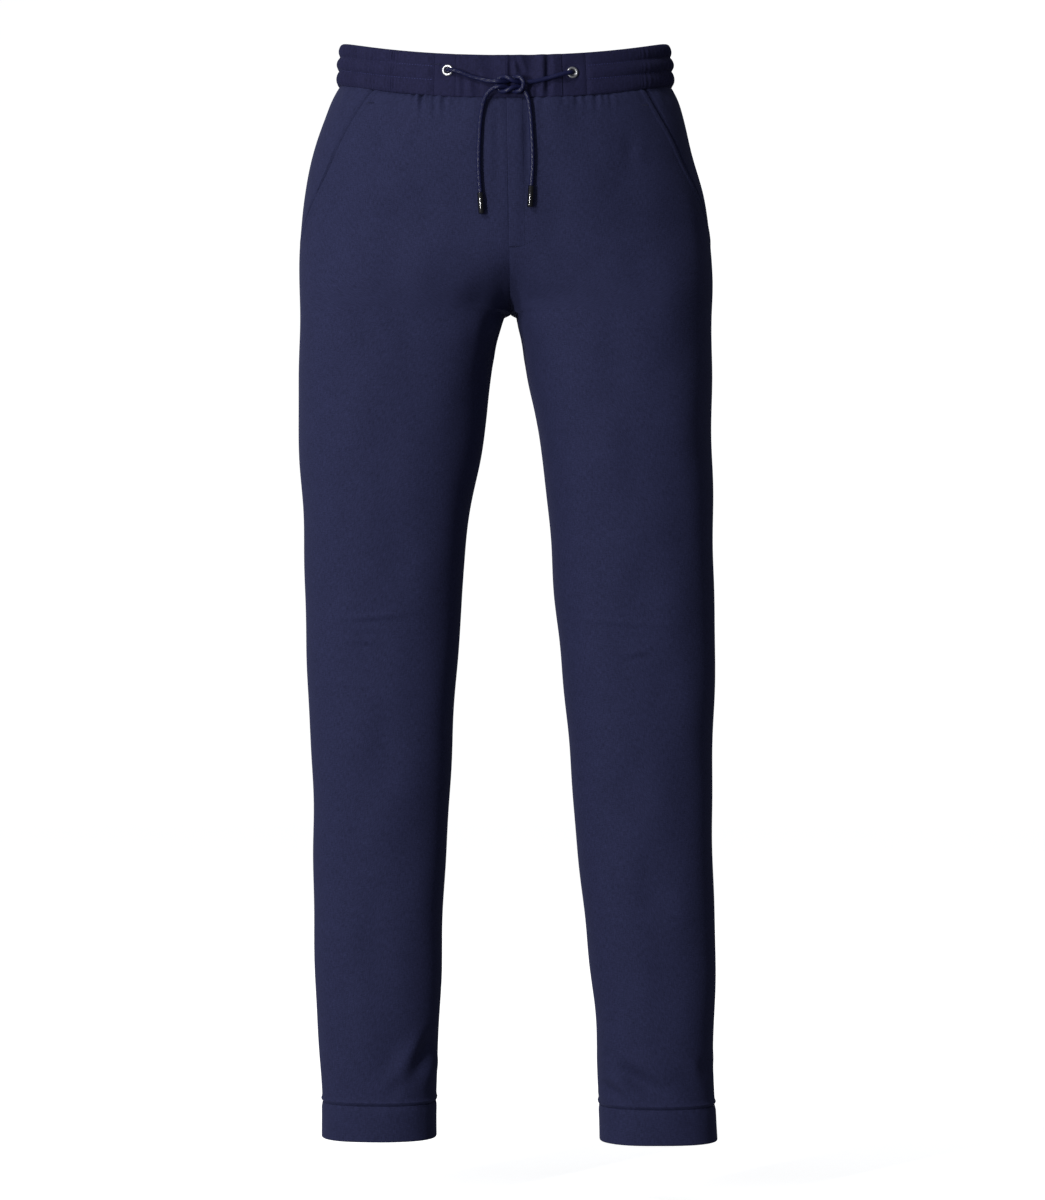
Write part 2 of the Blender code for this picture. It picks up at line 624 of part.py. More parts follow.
def cord_route(side):
    """The drawstring's axis: a smooth curve through the route, read at short steps in the knot."""
    rows = []
    for point in ROUTE[side]:
        x, z = KNOT_CENTRE[0] + point.across, KNOT_CENTRE[1] + point.up
        rows.append((x, front_y(x, z) - OVERLAP_PROUD - point.off, z))
    rows = np.array(rows)
    measure = np.concatenate([[0.0], np.cumsum(np.linalg.norm(np.diff(rows, axis=0), axis=1))])
    fine = np.arange(0.0, measure[-1], READ_STEP)
    curve = np.stack([smooth(measure, rows[:, axis], fine) for axis in range(3)], axis=1)
    in_knot = np.abs(curve[:, 0] - KNOT_CENTRE[0]) < KNOT_HALF_WIDTH
    in_knot &= np.abs(curve[:, 2] - KNOT_CENTRE[1]) < KNOT_HALF_WIDTH
    in_knot |= fine < 2 * CORD_STEP
    pace = READ_STEP / np.where(in_knot, KNOT_STEP, CORD_STEP)
    reached = np.concatenate([[0.0], np.cumsum(pace[1:])])
    count = int(round(reached[-1]))
    places = np.interp(np.linspace(0.0, reached[-1], count + 1), reached, np.arange(len(fine)))
    return curve[np.round(places).astype(int)]


def build_cord(side, finish):
    """The drawstring's tube, from inside its eyelet to its tip."""
    route = cord_route(side)
    data = bpy.data.curves.new(f"drawstring_{side}", "CURVE")
    data.dimensions = "3D"
    data.bevel_depth = CORD_RADIUS * MM
    data.bevel_resolution = 2
    data.use_fill_caps = True
    spline = data.splines.new("POLY")
    spline.points.add(len(route) - 1)
    for point, place in zip(spline.points, route):
        point.co = (*(place * MM), 1.0)
    data.materials.append(finish)
    made = bpy.data.objects.new(f"drawstring_{side}", data)
    bpy.context.scene.collection.objects.link(made)
    return route


def build_tip(side, route, finish):
    """The dipped end of the cord, a rounded rod in line with it."""
    direction = route[-1] - route[-2]
    made = turned(f"tip_{side}", TIP_PROFILE, TIP_SIDES, finish)
    place_along(made, route[-1], direction)


def main():
    """Clear the scene and build every sub-part."""
    for old in list(bpy.data.objects):
        bpy.data.objects.remove(old)

    for side in ("right", "left"):
        for face in ("front", "back"):
            build_panel(side, face, material(f"{face} {side} cloth", NAVY, 0.85))
        build_pocket_side(side, material(f"pocket side {side} cloth", NAVY, 0.85))
        build_hem(side, material(f"hem {side} cloth", NAVY, 0.85))
    build_fly(material("fly cloth", NAVY, 0.85))

    centre = turn_at(FRONT_OVERLAP)
    eyelet_turn = {"right": turn_at(RIGHT_EYELET_SEAM), "left": turn_at(LEFT_EYELET_SEAM)}
    elastic_turn = {"right": turn_at(RIGHT_ELASTIC_SEAM), "left": turn_at(LEFT_ELASTIC_SEAM)}
    gap = SEAM_GAP / 2 / BAND[1].left_outer
    for side in ("right", "left"):
        sign = SIDE_SIGN[side]
        trim = sign * gap
        overlap = OVERLAP_PROUD if side == "left" else 0.0
        front = np.linspace(centre + trim, eyelet_turn[side] - trim, BAND_FRONT_POINTS)
        build_band_piece(f"waistband_front_{side}", front,
                         material(f"band front {side}", BAND_NAVY, 0.85), overlap)
        carrier = np.linspace(eyelet_turn[side] + trim, elastic_turn[side] - trim, EYELET_PIECE_POINTS)
        piece = build_band_piece(f"waistband_eyelet_{side}", carrier,
                                 material(f"eyelet piece {side}", BAND_NAVY, 0.85))
        cut_eyelet_hole(piece, side)
        build_elastic(side, elastic_turn[side] + trim, sign * math.pi - trim,
                      material(f"elastic band {side}", BAND_NAVY, 0.85))
        build_eyelet(side, material(f"eyelet metal {side}", NICKEL, 0.25, 1.0))
        route = build_cord(side, material(f"drawstring {side}", CORD_NAVY, 0.7))
        build_tip(side, route, material(f"dipped tip {side}", TIP_BLACK, 0.2))


main()
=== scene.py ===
"""Dress the packed slacks in their cloth, cords, metal and stitches, on a pale floor.

Sides are the wearer's own: right is -X and stands on the left of the picture, left is +X,
and the front faces -Y. Tables and named sizes are in millimetres, and MM turns them into
metres. The body's formulas and tables are those of the solids, read more finely.
"""
import math
from collections import namedtuple

import bmesh
import bpy
import numpy as np
from bpy.props import FloatProperty, FloatVectorProperty, IntProperty, PointerProperty
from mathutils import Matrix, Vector


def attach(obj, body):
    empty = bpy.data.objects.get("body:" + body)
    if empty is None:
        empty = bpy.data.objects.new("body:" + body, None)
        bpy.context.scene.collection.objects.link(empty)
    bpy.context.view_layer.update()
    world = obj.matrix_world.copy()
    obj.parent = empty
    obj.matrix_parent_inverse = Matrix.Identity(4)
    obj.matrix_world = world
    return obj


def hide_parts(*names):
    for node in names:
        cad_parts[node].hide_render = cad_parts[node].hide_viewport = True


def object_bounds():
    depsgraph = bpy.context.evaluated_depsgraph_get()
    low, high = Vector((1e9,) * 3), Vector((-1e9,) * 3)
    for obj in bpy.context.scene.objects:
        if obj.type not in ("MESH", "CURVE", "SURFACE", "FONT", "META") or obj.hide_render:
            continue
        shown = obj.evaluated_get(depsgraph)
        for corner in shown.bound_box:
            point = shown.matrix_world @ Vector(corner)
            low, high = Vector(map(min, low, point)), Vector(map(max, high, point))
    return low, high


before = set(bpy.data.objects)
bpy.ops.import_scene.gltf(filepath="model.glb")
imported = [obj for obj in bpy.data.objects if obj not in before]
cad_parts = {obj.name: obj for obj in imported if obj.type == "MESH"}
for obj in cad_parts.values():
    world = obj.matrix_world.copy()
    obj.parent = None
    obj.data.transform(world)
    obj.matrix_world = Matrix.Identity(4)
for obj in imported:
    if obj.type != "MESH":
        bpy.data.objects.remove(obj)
FRAME_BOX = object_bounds()

bl_info = {
    "name": "Drawstring slacks",
    "version": (1, 0, 0),
    "blender": (4, 5, 0),
    "location": "View3D > Sidebar > Slacks",
    "description": "Makes the cloth, cords, metal and stitches of a pair of drawstring slacks",
    "category": "Object",
}

MM = 0.001
BODY = "root"
SIDES = ("right", "left")
FACES = ("front", "back")
SIDE_SIGN = {"right": -1, "left": 1}
FACE_SIGN = {"front": -1, "back": 1}
MOTTLE_SHARE = 0.3
SMOOTH_ANGLE = math.radians(42)
CLOTH_MAP = "cloth"

# ---- driving sizes, as in the solids ---------------------------------------------------
SEAM_GAP = 0.3
SEWN_GAP = 0.03           # half of what is left open between two sewn edges
BEHIND_BAND = 1.0         # a panel's ends run this far behind the waistband and the hem
SEWN_LAP = 0.15           # sewn edges run this far past their line, so that no light shows between
PANEL_CLOTH = 1.5
BAND_CLOTH = 3.0
HEM_CLOTH = 2.4
BAND_SQUARE = 2.2
BAND_TOP = 20.0
BAND_BOTTOM = -20.5
FRONT_DIP = 22.8
FRONT_DIP_POWER = 1.7
BACK_LIFT = 4.0
DIP_ENDS = -150.0
CENTRE_AT_WAIST = 1.0
CENTRE_AT_FORK = 4.3
FORK = -239.0
FORK_BLEND = 84.0
SPREAD_HEIGHT = 60.0
INSIDE_POWER = 6
HEM_HEIGHT = 34.0
HEM_PROUD = 0.5
HEM_BOTTOM = {"right": -1029.5, "left": -1033.0}

Outline = namedtuple("Outline", "height right_outer left_outer front back square")
OUTLINE = [
    Outline(-20.5, -160.5, 159.5, 110, 122, 2.2),
    Outline(-33, -167.5, 165, 111, 126, 2.25),
    Outline(-52, -175, 171, 112, 130, 2.3),
    Outline(-90, -187, 181, 112, 135, 2.4),
    Outline(-130, -194.5, 190.7, 110, 136, 2.5),
    Outline(-168, -197.4, 196.5, 106.5, 132, 2.5),
    Outline(-206, -198.4, 198.4, 102, 124, 2.6),
    Outline(-245, -198.6, 197.6, 98, 115, 2.6),
    Outline(-302, -199.3, 198.4, 93, 104, 2.55),
    Outline(-379, -198.4, 198.4, 86, 93, 2.5),
    Outline(-456, -194.5, 199.3, 78, 83, 2.5),
    Outline(-534, -192.6, 201.3, 72, 74, 2.5),
    Outline(-610, -189.7, 200.3, 69, 71, 2.5),
    Outline(-688, -186.8, 198.6, 65, 69, 2.5),
    Outline(-765, -184.9, 199.3, 61, 67, 2.45),
    Outline(-842, -184.5, 201.0, 58, 64, 2.45),
    Outline(-919, -182, 201.3, 56, 61, 2.45),
    Outline(-991, -177.2, 200.3, 54, 57, 2.45),
    Outline(-1035, -175.9, 203.2, 54, 57, 2.45),
]

Inseam = namedtuple("Inseam", "height right left")
INSEAM = [
    Inseam(-239, -0.7, 9.3),
    Inseam(-245, -2.9, 10.6),
    Inseam(-262, -7.7, 14.4),
    Inseam(-302, -14.4, 20.2),
    Inseam(-341, -20.2, 28.9),
    Inseam(-379, -25.0, 34.7),
    Inseam(-456, -38.5, 43.3),
    Inseam(-534, -43.8, 49.1),
    Inseam(-610, -49.1, 56.8),
    Inseam(-688, -53.9, 63.6),
    Inseam(-765, -57.8, 70.3),
    Inseam(-842, -61.6, 78.0),
    Inseam(-919, -64.5, 85.7),
    Inseam(-991, -66.4, 89.6),
    Inseam(-1035, -67.4, 90.7),
]

Band = namedtuple("Band", "height right_outer left_outer front back")
BAND = [
    Band(-20.5, -160.5, 159.5, 110, 122),
    Band(0.0, -159.3, 158.0, 108.5, 120.5),
    Band(20.0, -157.5, 155.5, 106.5, 118.5),
]
BAND_WIDTH = BAND[1].left_outer     # half its width, which turns a distance into an angle

# Where the slant pocket mouth crosses each height, as a share of the front from inside to side.
Mouth = namedtuple("Mouth", "height right left")
MOUTH = [
    Mouth(-20, 0.55, 0.595),
    Mouth(-35, 0.57, 0.61),
    Mouth(-75, 0.625, 0.685),
    Mouth(-115, 0.684, 0.757),
    Mouth(-145, 0.79, 0.86),
    Mouth(-165, 0.895, 0.955),
    Mouth(-178, 1.0, 1.0),
]
MOUTH_TUCK = 0.06         # share by which the piece behind it runs under the front's edge
MOUTH_SLACK = 2.8         # how far it hangs behind that edge
MOUTH_RISE = 0.03         # share over which it comes up beside the edge
SIDE_PIECE_END = -186.0

# Where the waistband's pieces meet on the front, by x: the edge of the lap, then each seam.
BandSeams = namedtuple("BandSeams", "lap eyelet elastic")
BAND_SEAMS = {"right": BandSeams(0.9, -46.9, -67.0), "left": BandSeams(0.9, 53.2, 76.0)}
OVERLAP_PROUD = 0.8

FLY_WIDTH = 15.0
FLY_THICK = 1.0
FLY_END = -182.5

EYELET = {"right": (-54.4, -17.1), "left": (62.8, -19.0)}
EYELET_HOLE = 2.8
EYELET_BARREL = 3.2
EYELET_DEPTH = 3.6
EYELET_RIM = 5.5
EYELET_RISE = 1.5
CLOTH_HOLE = 3.5

CORD_RADIUS = 2.1
TIP_PROFILE = [(0.0, 0.3), (2.45, 0.3), (2.75, 0.5), (2.9, 0.9), (2.9, 18.6), (2.75, 19.5), (2.35, 20.1),
               (1.5, 20.4), (0.0, 20.5)]
KNOT_CENTRE = (4.3, -31.5)
Point = namedtuple("Point", "across up off")
ROUTE = {
    "right": [
        Point(-58.7, 14.4, -1.7), Point(-58.4, 14.4, 1.4), Point(-56.6, 14.2, 3.9), Point(-52.5, 13.6, 4.6),
        Point(-46, 11.4, 4.4), Point(-37.5, 8.0, 3.2), Point(-28.5, 5.4, 3.2), Point(-19.5, 3.0, 5.4),
        Point(-10.5, 2.35, 7.5), Point(-6.5, 2.35, 5.4), Point(-4.2, 2.7, 3.9), Point(-2, 3.5, 2.95),
        Point(0, 4.6, 2.7), Point(2, 5.7, 2.95), Point(4.2, 6.55, 3.9), Point(6.8, 6.8, 5.6),
        Point(9.8, 5.9, 7.2), Point(12, 2.6, 7.6), Point(12, -2.6, 7.6), Point(9.8, -5.9, 7.2),
        Point(6.8, -6.8, 5.6), Point(4.2, -6.55, 3.9), Point(2, -5.7, 2.95), Point(0, -4.6, 2.7),
        Point(-2, -3.5, 2.95), Point(-4.2, -2.7, 3.9), Point(-6.5, -2.35, 5.4), Point(-10.5, -2.5, 7.5),
        Point(-16, -4.2, 6.6), Point(-21.5, -9.2, 4.8), Point(-25, -17, 3.6), Point(-27, -27, 2.8),
        Point(-29, -50, 2.7), Point(-29.4, -80, 2.7), Point(-28.0, -101, 2.7),
    ],
    "left": [
        Point(58.5, 12.5, -1.7), Point(58.2, 12.4, 1.4), Point(56.4, 12.0, 3.9), Point(52.3, 11.2, 4.6),
        Point(45.5, 9.2, 4.4), Point(35, 6.2, 2.9), Point(25, 3.6, 2.7), Point(17, 2.5, 2.7),
        Point(10.5, 2.35, 2.7), Point(6.5, 2.35, 4.8), Point(4.2, 2.7, 6.3), Point(2, 3.5, 7.25),
        Point(0, 4.6, 7.5), Point(-2, 5.7, 7.25), Point(-4.2, 6.55, 6.3), Point(-6.8, 6.8, 4.6),
        Point(-9.8, 5.9, 3.0), Point(-12, 2.6, 2.7), Point(-12, -2.6, 2.7), Point(-9.8, -5.9, 3.0),
        Point(-6.8, -6.8, 4.6), Point(-4.2, -6.55, 6.3), Point(-2, -5.7, 7.25), Point(0, -4.6, 7.5),
        Point(2, -3.5, 7.25), Point(4.2, -2.7, 6.3), Point(6.5, -2.4, 4.8), Point(10.5, -3.0, 2.8),
        Point(14.5, -7.5, 3.0), Point(16.8, -14, 3.0), Point(18.4, -24, 2.8), Point(20, -45, 2.7),
        Point(21, -72, 2.7), Point(19.8, -95, 2.7),
    ],
}

# ---- creases of the panels ---------------------------------------------------------------
# A soft ridge (height above 0) or trough along a bowed line, deepest at the share lead of its run.
# A lead of 0 is a gather that starts at the seam above it.
Crease = namedtuple("Crease", "x1 z1 x2 z2 bow width height lead")
CREASES = {
    ("right", "front"): [
        # gathers under the waistband
        Crease(-103, -26, -104, -42, 0, 2.2, -0.5, 0.0),
        Crease(-86.8, -26, -86.5, -52, 0, 1.9, -3.6, 0.0),
        Crease(-79.3, -28, -79.0, -66, 0, 2.1, -5.0, 0.0),
        Crease(-72.6, -32, -71.8, -52, 0, 1.8, -1.0, 0.0),
        Crease(-67.0, -30, -65.8, -74, 0.5, 2.4, -2.4, 0.0),
        Crease(-57.7, -34, -57.2, -66, 0, 2.4, -1.8, 0.0),
        Crease(-46.0, -38, -46.5, -52, 0, 2.4, -0.5, 0.0),
        # the shallow trough beside the centre-front seam
        Crease(-6, -40, -4, -178, 0, 4.5, -2.4, 0.3),
        # soft folds of the upper front
        Crease(-78, -50, -116, -106, -3, 5.5, 0.9, 0.35),
        Crease(-92, -46, -107, -86, 0, 4.5, 0.6, 0.3),
        Crease(-60, -70, -74, -150, 4, 13, 0.8, 0.5),
        Crease(-128, -110, -150, -250, 8, 20, 1.2, 0.5),
        Crease(-84, -150, -104, -240, 4, 16, -0.9, 0.5),
        # the pocket side pieces
        Crease(-150, -24, -161, -62, 0, 3.2, 1.0, 0.3),
        Crease(-141, -26, -151, -56, 0, 2.8, 0.9, 0.3),
        # the fork and the inside of the thighs
        Crease(1, -196, -2, -252, 0, 8.0, -1.6, 0.8),
        Crease(-8, -226, -64, -262, 4, 11, -1.8, 0.3),
        Crease(-9, -236, -26, -330, -3, 8, -2.4, 0.3),
        Crease(-34, -262, -60, -380, 4, 13, 1.0, 0.4),
        Crease(-120, -330, -128, -470, 5, 18, 0.9, 0.5),
        # knees
        Crease(-166, -531, -84, -525.5, 1.5, 2.6, 1.1, 0.45),
        Crease(-158, -542, -100, -540, 0, 3.0, 0.35, 0.5),
        Crease(-156, -549.5, -106, -556, 0, 3.0, 1.1, 0.4),
        Crease(-150, -537, -70, -533, 0, 5.0, -0.35, 0.5),
        # shins
        Crease(-124, -811, -94, -815, 0, 2.4, 0.4, 0.5),
        Crease(-130, -826, -94, -823, 0, 2.6, 0.5, 0.5),
        Crease(-96, -640, -110, -790, 5, 17, 0.9, 0.5),
        # above the hems
        Crease(-64, -918, -100, -980, -4, 7.5, -4.8, 0.4),
        Crease(-86, -928, -116, -984, -4, 9.0, 2.0, 0.5),
        Crease(-96, -968, -118, -992, 0, 5.0, -0.9, 0.4),
    ],
    ("left", "front"): [
        # gathers under the waistband
        Crease(36.0, -40, 35.0, -62, 0, 2.6, -0.7, 0.0),
        Crease(54.0, -38, 54.0, -55, 0, 2.2, -1.2, 0.0),
        Crease(67.0, -37, 67.2, -60, 0, 2.3, -1.5, 0.0),
        Crease(74.5, -36, 75.0, -50, 0, 1.8, -0.7, 0.0),
        Crease(85.5, -34, 85.8, -60, 0, 2.2, -1.7, 0.0),
        Crease(92.5, -33, 93.0, -52, 0, 1.9, -1.4, 0.0),
        Crease(98.5, -32, 99.5, -56, 0, 2.2, -1.2, 0.0),
        Crease(108, -30, 110, -46, 0, 2.4, -0.5, 0.0),
        # the shallow trough beside the fly strip
        Crease(20.2, -34, 20.4, -180, 0, 4.0, -2.2, 0.3),
        # soft folds of the upper front
        Crease(117.5, -66, 119, -116, 1, 5.5, -0.6, 0.5),
        Crease(127, -68, 128, -112, 1, 5.5, 0.3, 0.5),
        Crease(84, -90, 70, -210, -6, 17, 1.0, 0.5),
        Crease(104, -140, 128, -236, 5, 16, -0.9, 0.5),
        Crease(150, -130, 166, -250, 4, 16, 0.8, 0.5),
        # the pocket side pieces
        Crease(143, -26, 152, -50, 0, 3.2, 0.9, 0.3),
        # the fork and the inside of the thighs
        Crease(6, -196, 9, -252, 0, 8.0, -1.4, 0.8),
        Crease(14, -226, 62, -258, -4, 12, -1.4, 0.3),
        Crease(20, -244, 36, -330, 3, 9, -1.6, 0.3),
        Crease(60, -300, 74, -420, 4, 16, 0.8, 0.5),
        Crease(130, -330, 146, -480, -5, 17, -0.8, 0.5),
        # knees
        Crease(60, -530.5, 172, -538.5, 1.0, 2.6, 1.1, 0.4),
        Crease(100, -566, 146, -561.5, 0, 3.0, 1.0, 0.5),
        Crease(92, -573, 150, -570, 0, 4.5, -0.35, 0.5),
        Crease(84, -549, 160, -551, 0, 5.0, -0.5, 0.5),
        # shins
        Crease(118, -620, 140, -800, -5, 18, 0.9, 0.5),
        Crease(156, -700, 150, -900, 4, 17, -0.8, 0.5),
        # above the hems
        Crease(98, -950, 170, -992, 5, 7.0, -5.4, 0.35),
        Crease(90, -972, 114, -993, 0, 5.0, -4.6, 0.5),
        Crease(120, -940, 178, -970, 4, 8.0, 2.0, 0.4),
        Crease(186, -946, 196, -974, 0, 6.0, -2.0, 0.5),
        Crease(92, -946, 112, -950, 0, 4.0, -1.0, 0.3),
    ],
    ("right", "back"): [
        # gathers under the elastic
        Crease(-140, -12, -143, -52, 0, 4.5, -1.6, 0.0),
        Crease(-121, -12, -122, -40, 0, 3.5, -1.2, 0.0),
        Crease(-104, -12, -108, -70, 1, 4.5, -1.8, 0.0),
        Crease(-87, -12, -88, -46, 0, 3.5, -1.2, 0.0),
        Crease(-71, -12, -70, -60, 0, 4.2, -1.7, 0.0),
        Crease(-52, -12, -54, -42, 0, 3.6, -1.2, 0.0),
        Crease(-36, -12, -35, -66, 1, 4.4, -1.7, 0.0),
        Crease(-18, -12, -19, -40, 0, 3.6, -1.1, 0.0),
        # the seat and the backs of the thighs
        Crease(-8, -222, -88, -268, 6, 13, -3.2, 0.3),
        Crease(-12, -248, -70, -318, 5, 12, -2.8, 0.3),
        Crease(-30, -226, -104, -250, 4, 12, 1.6, 0.4),
        Crease(-24, -300, -78, -372, 5, 13, -1.8, 0.35),
        Crease(-150, -190, -120, -300, 5, 16, 1.2, 0.5),
        # behind the knees
        Crease(-178, -500, -72, -522, 4, 7, -1.8, 0.5),
        Crease(-172, -524, -62, -536, -3, 6, 1.0, 0.5),
        Crease(-180, -556, -84, -546, -3, 7, -1.9, 0.5),
        Crease(-166, -578, -92, -570, 0, 8, -1.0, 0.5),
        # the calves and above the back hems
        Crease(-110, -640, -122, -800, 5, 17, 1.1, 0.5),
        Crease(-166, -930, -112, -968, 4, 8, -2.2, 0.4),
        Crease(-150, -968, -92, -984, 3, 6, -1.8, 0.4),
        Crease(-90, -934, -74, -966, 2, 6, -1.4, 0.4),
    ],
    ("left", "back"): [
        # gathers under the elastic
        Crease(20, -12, 21, -54, 0, 4.2, -1.5, 0.0),
        Crease(38, -12, 37, -40, 0, 3.5, -1.2, 0.0),
        Crease(55, -12, 58, -68, -1, 4.5, -1.8, 0.0),
        Crease(74, -12, 74, -44, 0, 3.6, -1.2, 0.0),
        Crease(92, -12, 95, -62, 0, 4.3, -1.7, 0.0),
        Crease(110, -12, 111, -40, 0, 3.5, -1.1, 0.0),
        Crease(127, -12, 131, -58, 0, 4.5, -1.6, 0.0),
        # the seat and the backs of the thighs
        Crease(14, -222, 92, -264, -6, 13, -3.2, 0.3),
        Crease(18, -248, 78, -322, -5, 12, -2.8, 0.3),
        Crease(36, -224, 110, -250, -4, 12, 1.5, 0.4),
        Crease(28, -306, 86, -366, -5, 13, -1.7, 0.35),
        Crease(152, -180, 128, -296, 5, 16, 1.2, 0.5),
        # behind the knees
        Crease(72, -518, 182, -504, -4, 7, -1.8, 0.5),
        Crease(64, -534, 176, -528, 3, 6, 1.0, 0.5),
        Crease(80, -550, 188, -560, 3, 7, -1.9, 0.5),
        Crease(96, -572, 174, -582, 0, 8, -1.0, 0.5),
        # the calves and above the back hems
        Crease(136, -650, 146, -820, 5, 17, 1.1, 0.5),
        Crease(110, -956, 168, -984, 4, 7, -2.2, 0.4),
        Crease(190, -936, 150, -966, -4, 8, -1.9, 0.4),
        Crease(98, -940, 116, -972, 2, 6, -1.4, 0.4),
    ],
}
CREASE_FADE = 0.05        # share of a panel's width over which creases die out at a seam
SWAY_FADE = 0.14          # the same for the broad sway, beside the centre seams
SWAY_BLEND = 50.0         # and the height over which that begins, below the fork
SWELL = 0.30              # how much the cloth lifts on both sides of a trough
SWELL_AT = 1.9
SWELL_WIDTH = 0.8

# Broad unevenness of hanging cloth: wave lengths along x and z, then start and height.
Sway = namedtuple("Sway", "wide tall start height")
SWAYS = [
    Sway(92, 210, 0.4, 0.45),
    Sway(-61, 148, 2.1, 0.35),
    Sway(143, -97, 4.4, 0.35),
    Sway(39, 260, 1.3, 0.18),
]

# Creases of the plain front of the waistband, by x and height on the band.
BandCrease = namedtuple("BandCrease", "x1 h1 x2 h2 width height")
BAND_CREASES = [
    BandCrease(-20, 24, -6, -8, 6.5, -1.6),
    BandCrease(-27, 8, -24, -24, 3.0, -0.8),
    BandCrease(-34, 0, -32, -26, 2.4, 0.8),
    BandCrease(-40, 4, -39, -26, 2.4, -0.9),
    BandCrease(5.0, 26, 4.0, -26, 2.4, -2.2),
    BandCrease(7, 22, 17, 0, 2.6, -2.3),
    BandCrease(24, 28, 21.5, -16, 6.0, -2.2),
    BandCrease(33, 28, 34.0, -26, 3.4, 1.3),
    BandCrease(39.5, 28, 40.0, -26, 2.4, -1.7),
    BandCrease(30, -4, 29, -28, 2.2, -1.1),
    BandCrease(47, 28, 46, -26, 3.2, 0.6),
]

# Lines of stitches on the panels, by x and z.
FLY_CURVE = [(3.5, -185.0), (7.9, -182.6), (14.0, -181.6), (19.0, -180.2), (24.0, -177.4), (28.0, -173.0),
             (29.5, -168.0)]
POCKET_TACK = {"right": [(-130.4, -44.2), (-123.8, -45.2)], "left": [(128.6, -46.6), (135.2, -45.8)]}
BAND_TACK = [(-70.8, -10.9), (-60.6, -10.9)]

# ---- finer sizes of the cloth --------------------------------------------------------------
# Rows of the panels: from each height down, the step between rows.
RowStep = namedtuple("RowStep", "height step")
ROW_STEPS = [RowStep(-27, 2.4), RowStep(-300, 3.6), RowStep(-512, 2.0), RowStep(-584, 4.2),
             RowStep(-800, 3.0), RowStep(-834, 4.2), RowStep(-916, 2.4)]
EDGE_ROWS = [0.0, 0.6, 1.0, 1.5, 2.2, 3.1, 4.4]     # distances of the close rows at an end
ROW_CLEAR = 1.0           # and what is left free above the lower ones
EDGE_STEPS = [0.1, 0.28, 0.55]      # the close columns at an edge, in steps
FRONT_COLUMNS = 132
BACK_COLUMNS = 84
SEAM_DIP = 0.55           # how far a panel bends in towards a seam
SEAM_REACH = 3.4
END_DIP = 1.6             # and under the waistband and over the hem
END_REACH = 2.2
FORK_SOFT = 15.0          # height under the fork over which the inseams begin to bend in
EDGE_RADIUS = 0.7         # rounding of a panel's edge
HEM_BULGE = 1.1           # the cloth swells just above the hem's stitches
HEM_BULGE_AT = 4.2
HEM_BULGE_WIDTH = 1.7
WELT_RISE = 0.6           # the turned edge of the pocket mouth
WELT_WIDTH = 6.0
WELT_SOFT = 1.6
MOUTH_CLOSE = 10.0        # height over which it grows at the mouth's foot
POCKET_COLUMNS = 24
TUCK_COLUMNS = 7
RIPPLE = {"front": 0.22, "back": 0.4}     # small gathers all along the waistband seam
RIPPLE_REACH = 14.0
RIPPLE_WAVES = [(8.6, 0.6), (12.3, 0.4)]  # wave lengths and shares, as for the hem's pucker
WAVE_START = 9            # a wave's start is its share times this
HEM_ROWS = 26
HEM_EDGE = 1.1
HEM_DIP = 1.3             # how much more the hem bends in at its stitches than a seam does
HEM_PUCKER = 0.28
HEM_PUCKER_WAVES = [(15.0, 0.6), (23.0, 0.5)]
HEM_PUCKER_START = 4.0    # the pucker begins over this height under the stitches
HEM_PUCKER_REACH = 9.0    # and dies out below at this rate
BAND_ROWS = 30
BAND_FRONT_COLUMNS = 64
BAND_CREASE_FADE = 3.0    # the plain front's creases die out over this distance from its seam
BAND_CREASE_RISE = 0.3    # and over this share of their run at both ends
BAND_EDGE = 1.3           # rounding of the folded top
BAND_SEAM_DIP = 0.45
BAND_SEAM_REACH = 2.2
BAND_SEAM_RADIUS = 0.7
BAND_EDGE_LIFT = 0.8
FRONT_LAP = 0.8           # the right front runs this far under the left one
STITCH_ROWS = (7.5, -5.5)
PUFFS = (1.8, 2.9, 2.1)   # the three bands that the stitch rows part, top to bottom
PUFF_GATHER = (1.0, 0.6, 0.95)
PUFF_ROUNDNESS = 0.7
PUFF_START = 0.5          # share of the bands' height at the front seam
PUFF_FULL = 0.3           # share of the elastic's length where they are full
ELASTIC_END = 1 / 60      # share of it over which all relief dies out at a seam
GATHER_LEAST = 0.35       # share of a gather's depth that is left on the stitch rows
COLUMNS_A_GATHER = 6
GATHER_START = {"right": 0.12, "left": 0.06}   # share of the gathers' depth at the front seam
GATHER_WAIT = 0.05        # share of its length before they begin to grow
GATHER_FULL = {"right": 0.15, "left": 0.42}    # share of the elastic's length where they are full
# Unevenness of the gathers' places and depths: waves round the elastic, then start and size.
GATHER_DRIFT = [(2.3, 0.9, 0.4), (5.7, 2.2, 0.3), (13.3, 4.0, 0.16), (23.7, 1.1, 0.07)]
DRIFT_STRENGTH = 3
GATHER_UNEVEN = [(3.7, 0.5, 0.22), (9.1, 1.9, 0.2), (17.3, 3.3, 0.15)]
UNEVEN_RATE = 3
EYELET_PINCH = 0.7        # depth of the hollow pressed into the cloth round an eyelet
EYELET_PINCH_AT = 7.2
EYELET_PINCH_WIDTH = 2.0
EYELET_EDGE_STEPS = 16    # steps along each edge of the eyelet piece
EYELET_RINGS = 18         # and steps from its hole out to them
NEARBY_TURN = 0.01        # points this near give the surface's directions at the eyelet
NEARBY_HEIGHT = 1.0
FLY_COLUMNS = 14
FLY_STEP = 2.4
FLY_CORNER = 4.0
FLY_THIN = 0.12           # the strip is pressed thin towards its stitched edge
FLY_TAPER = 9.0

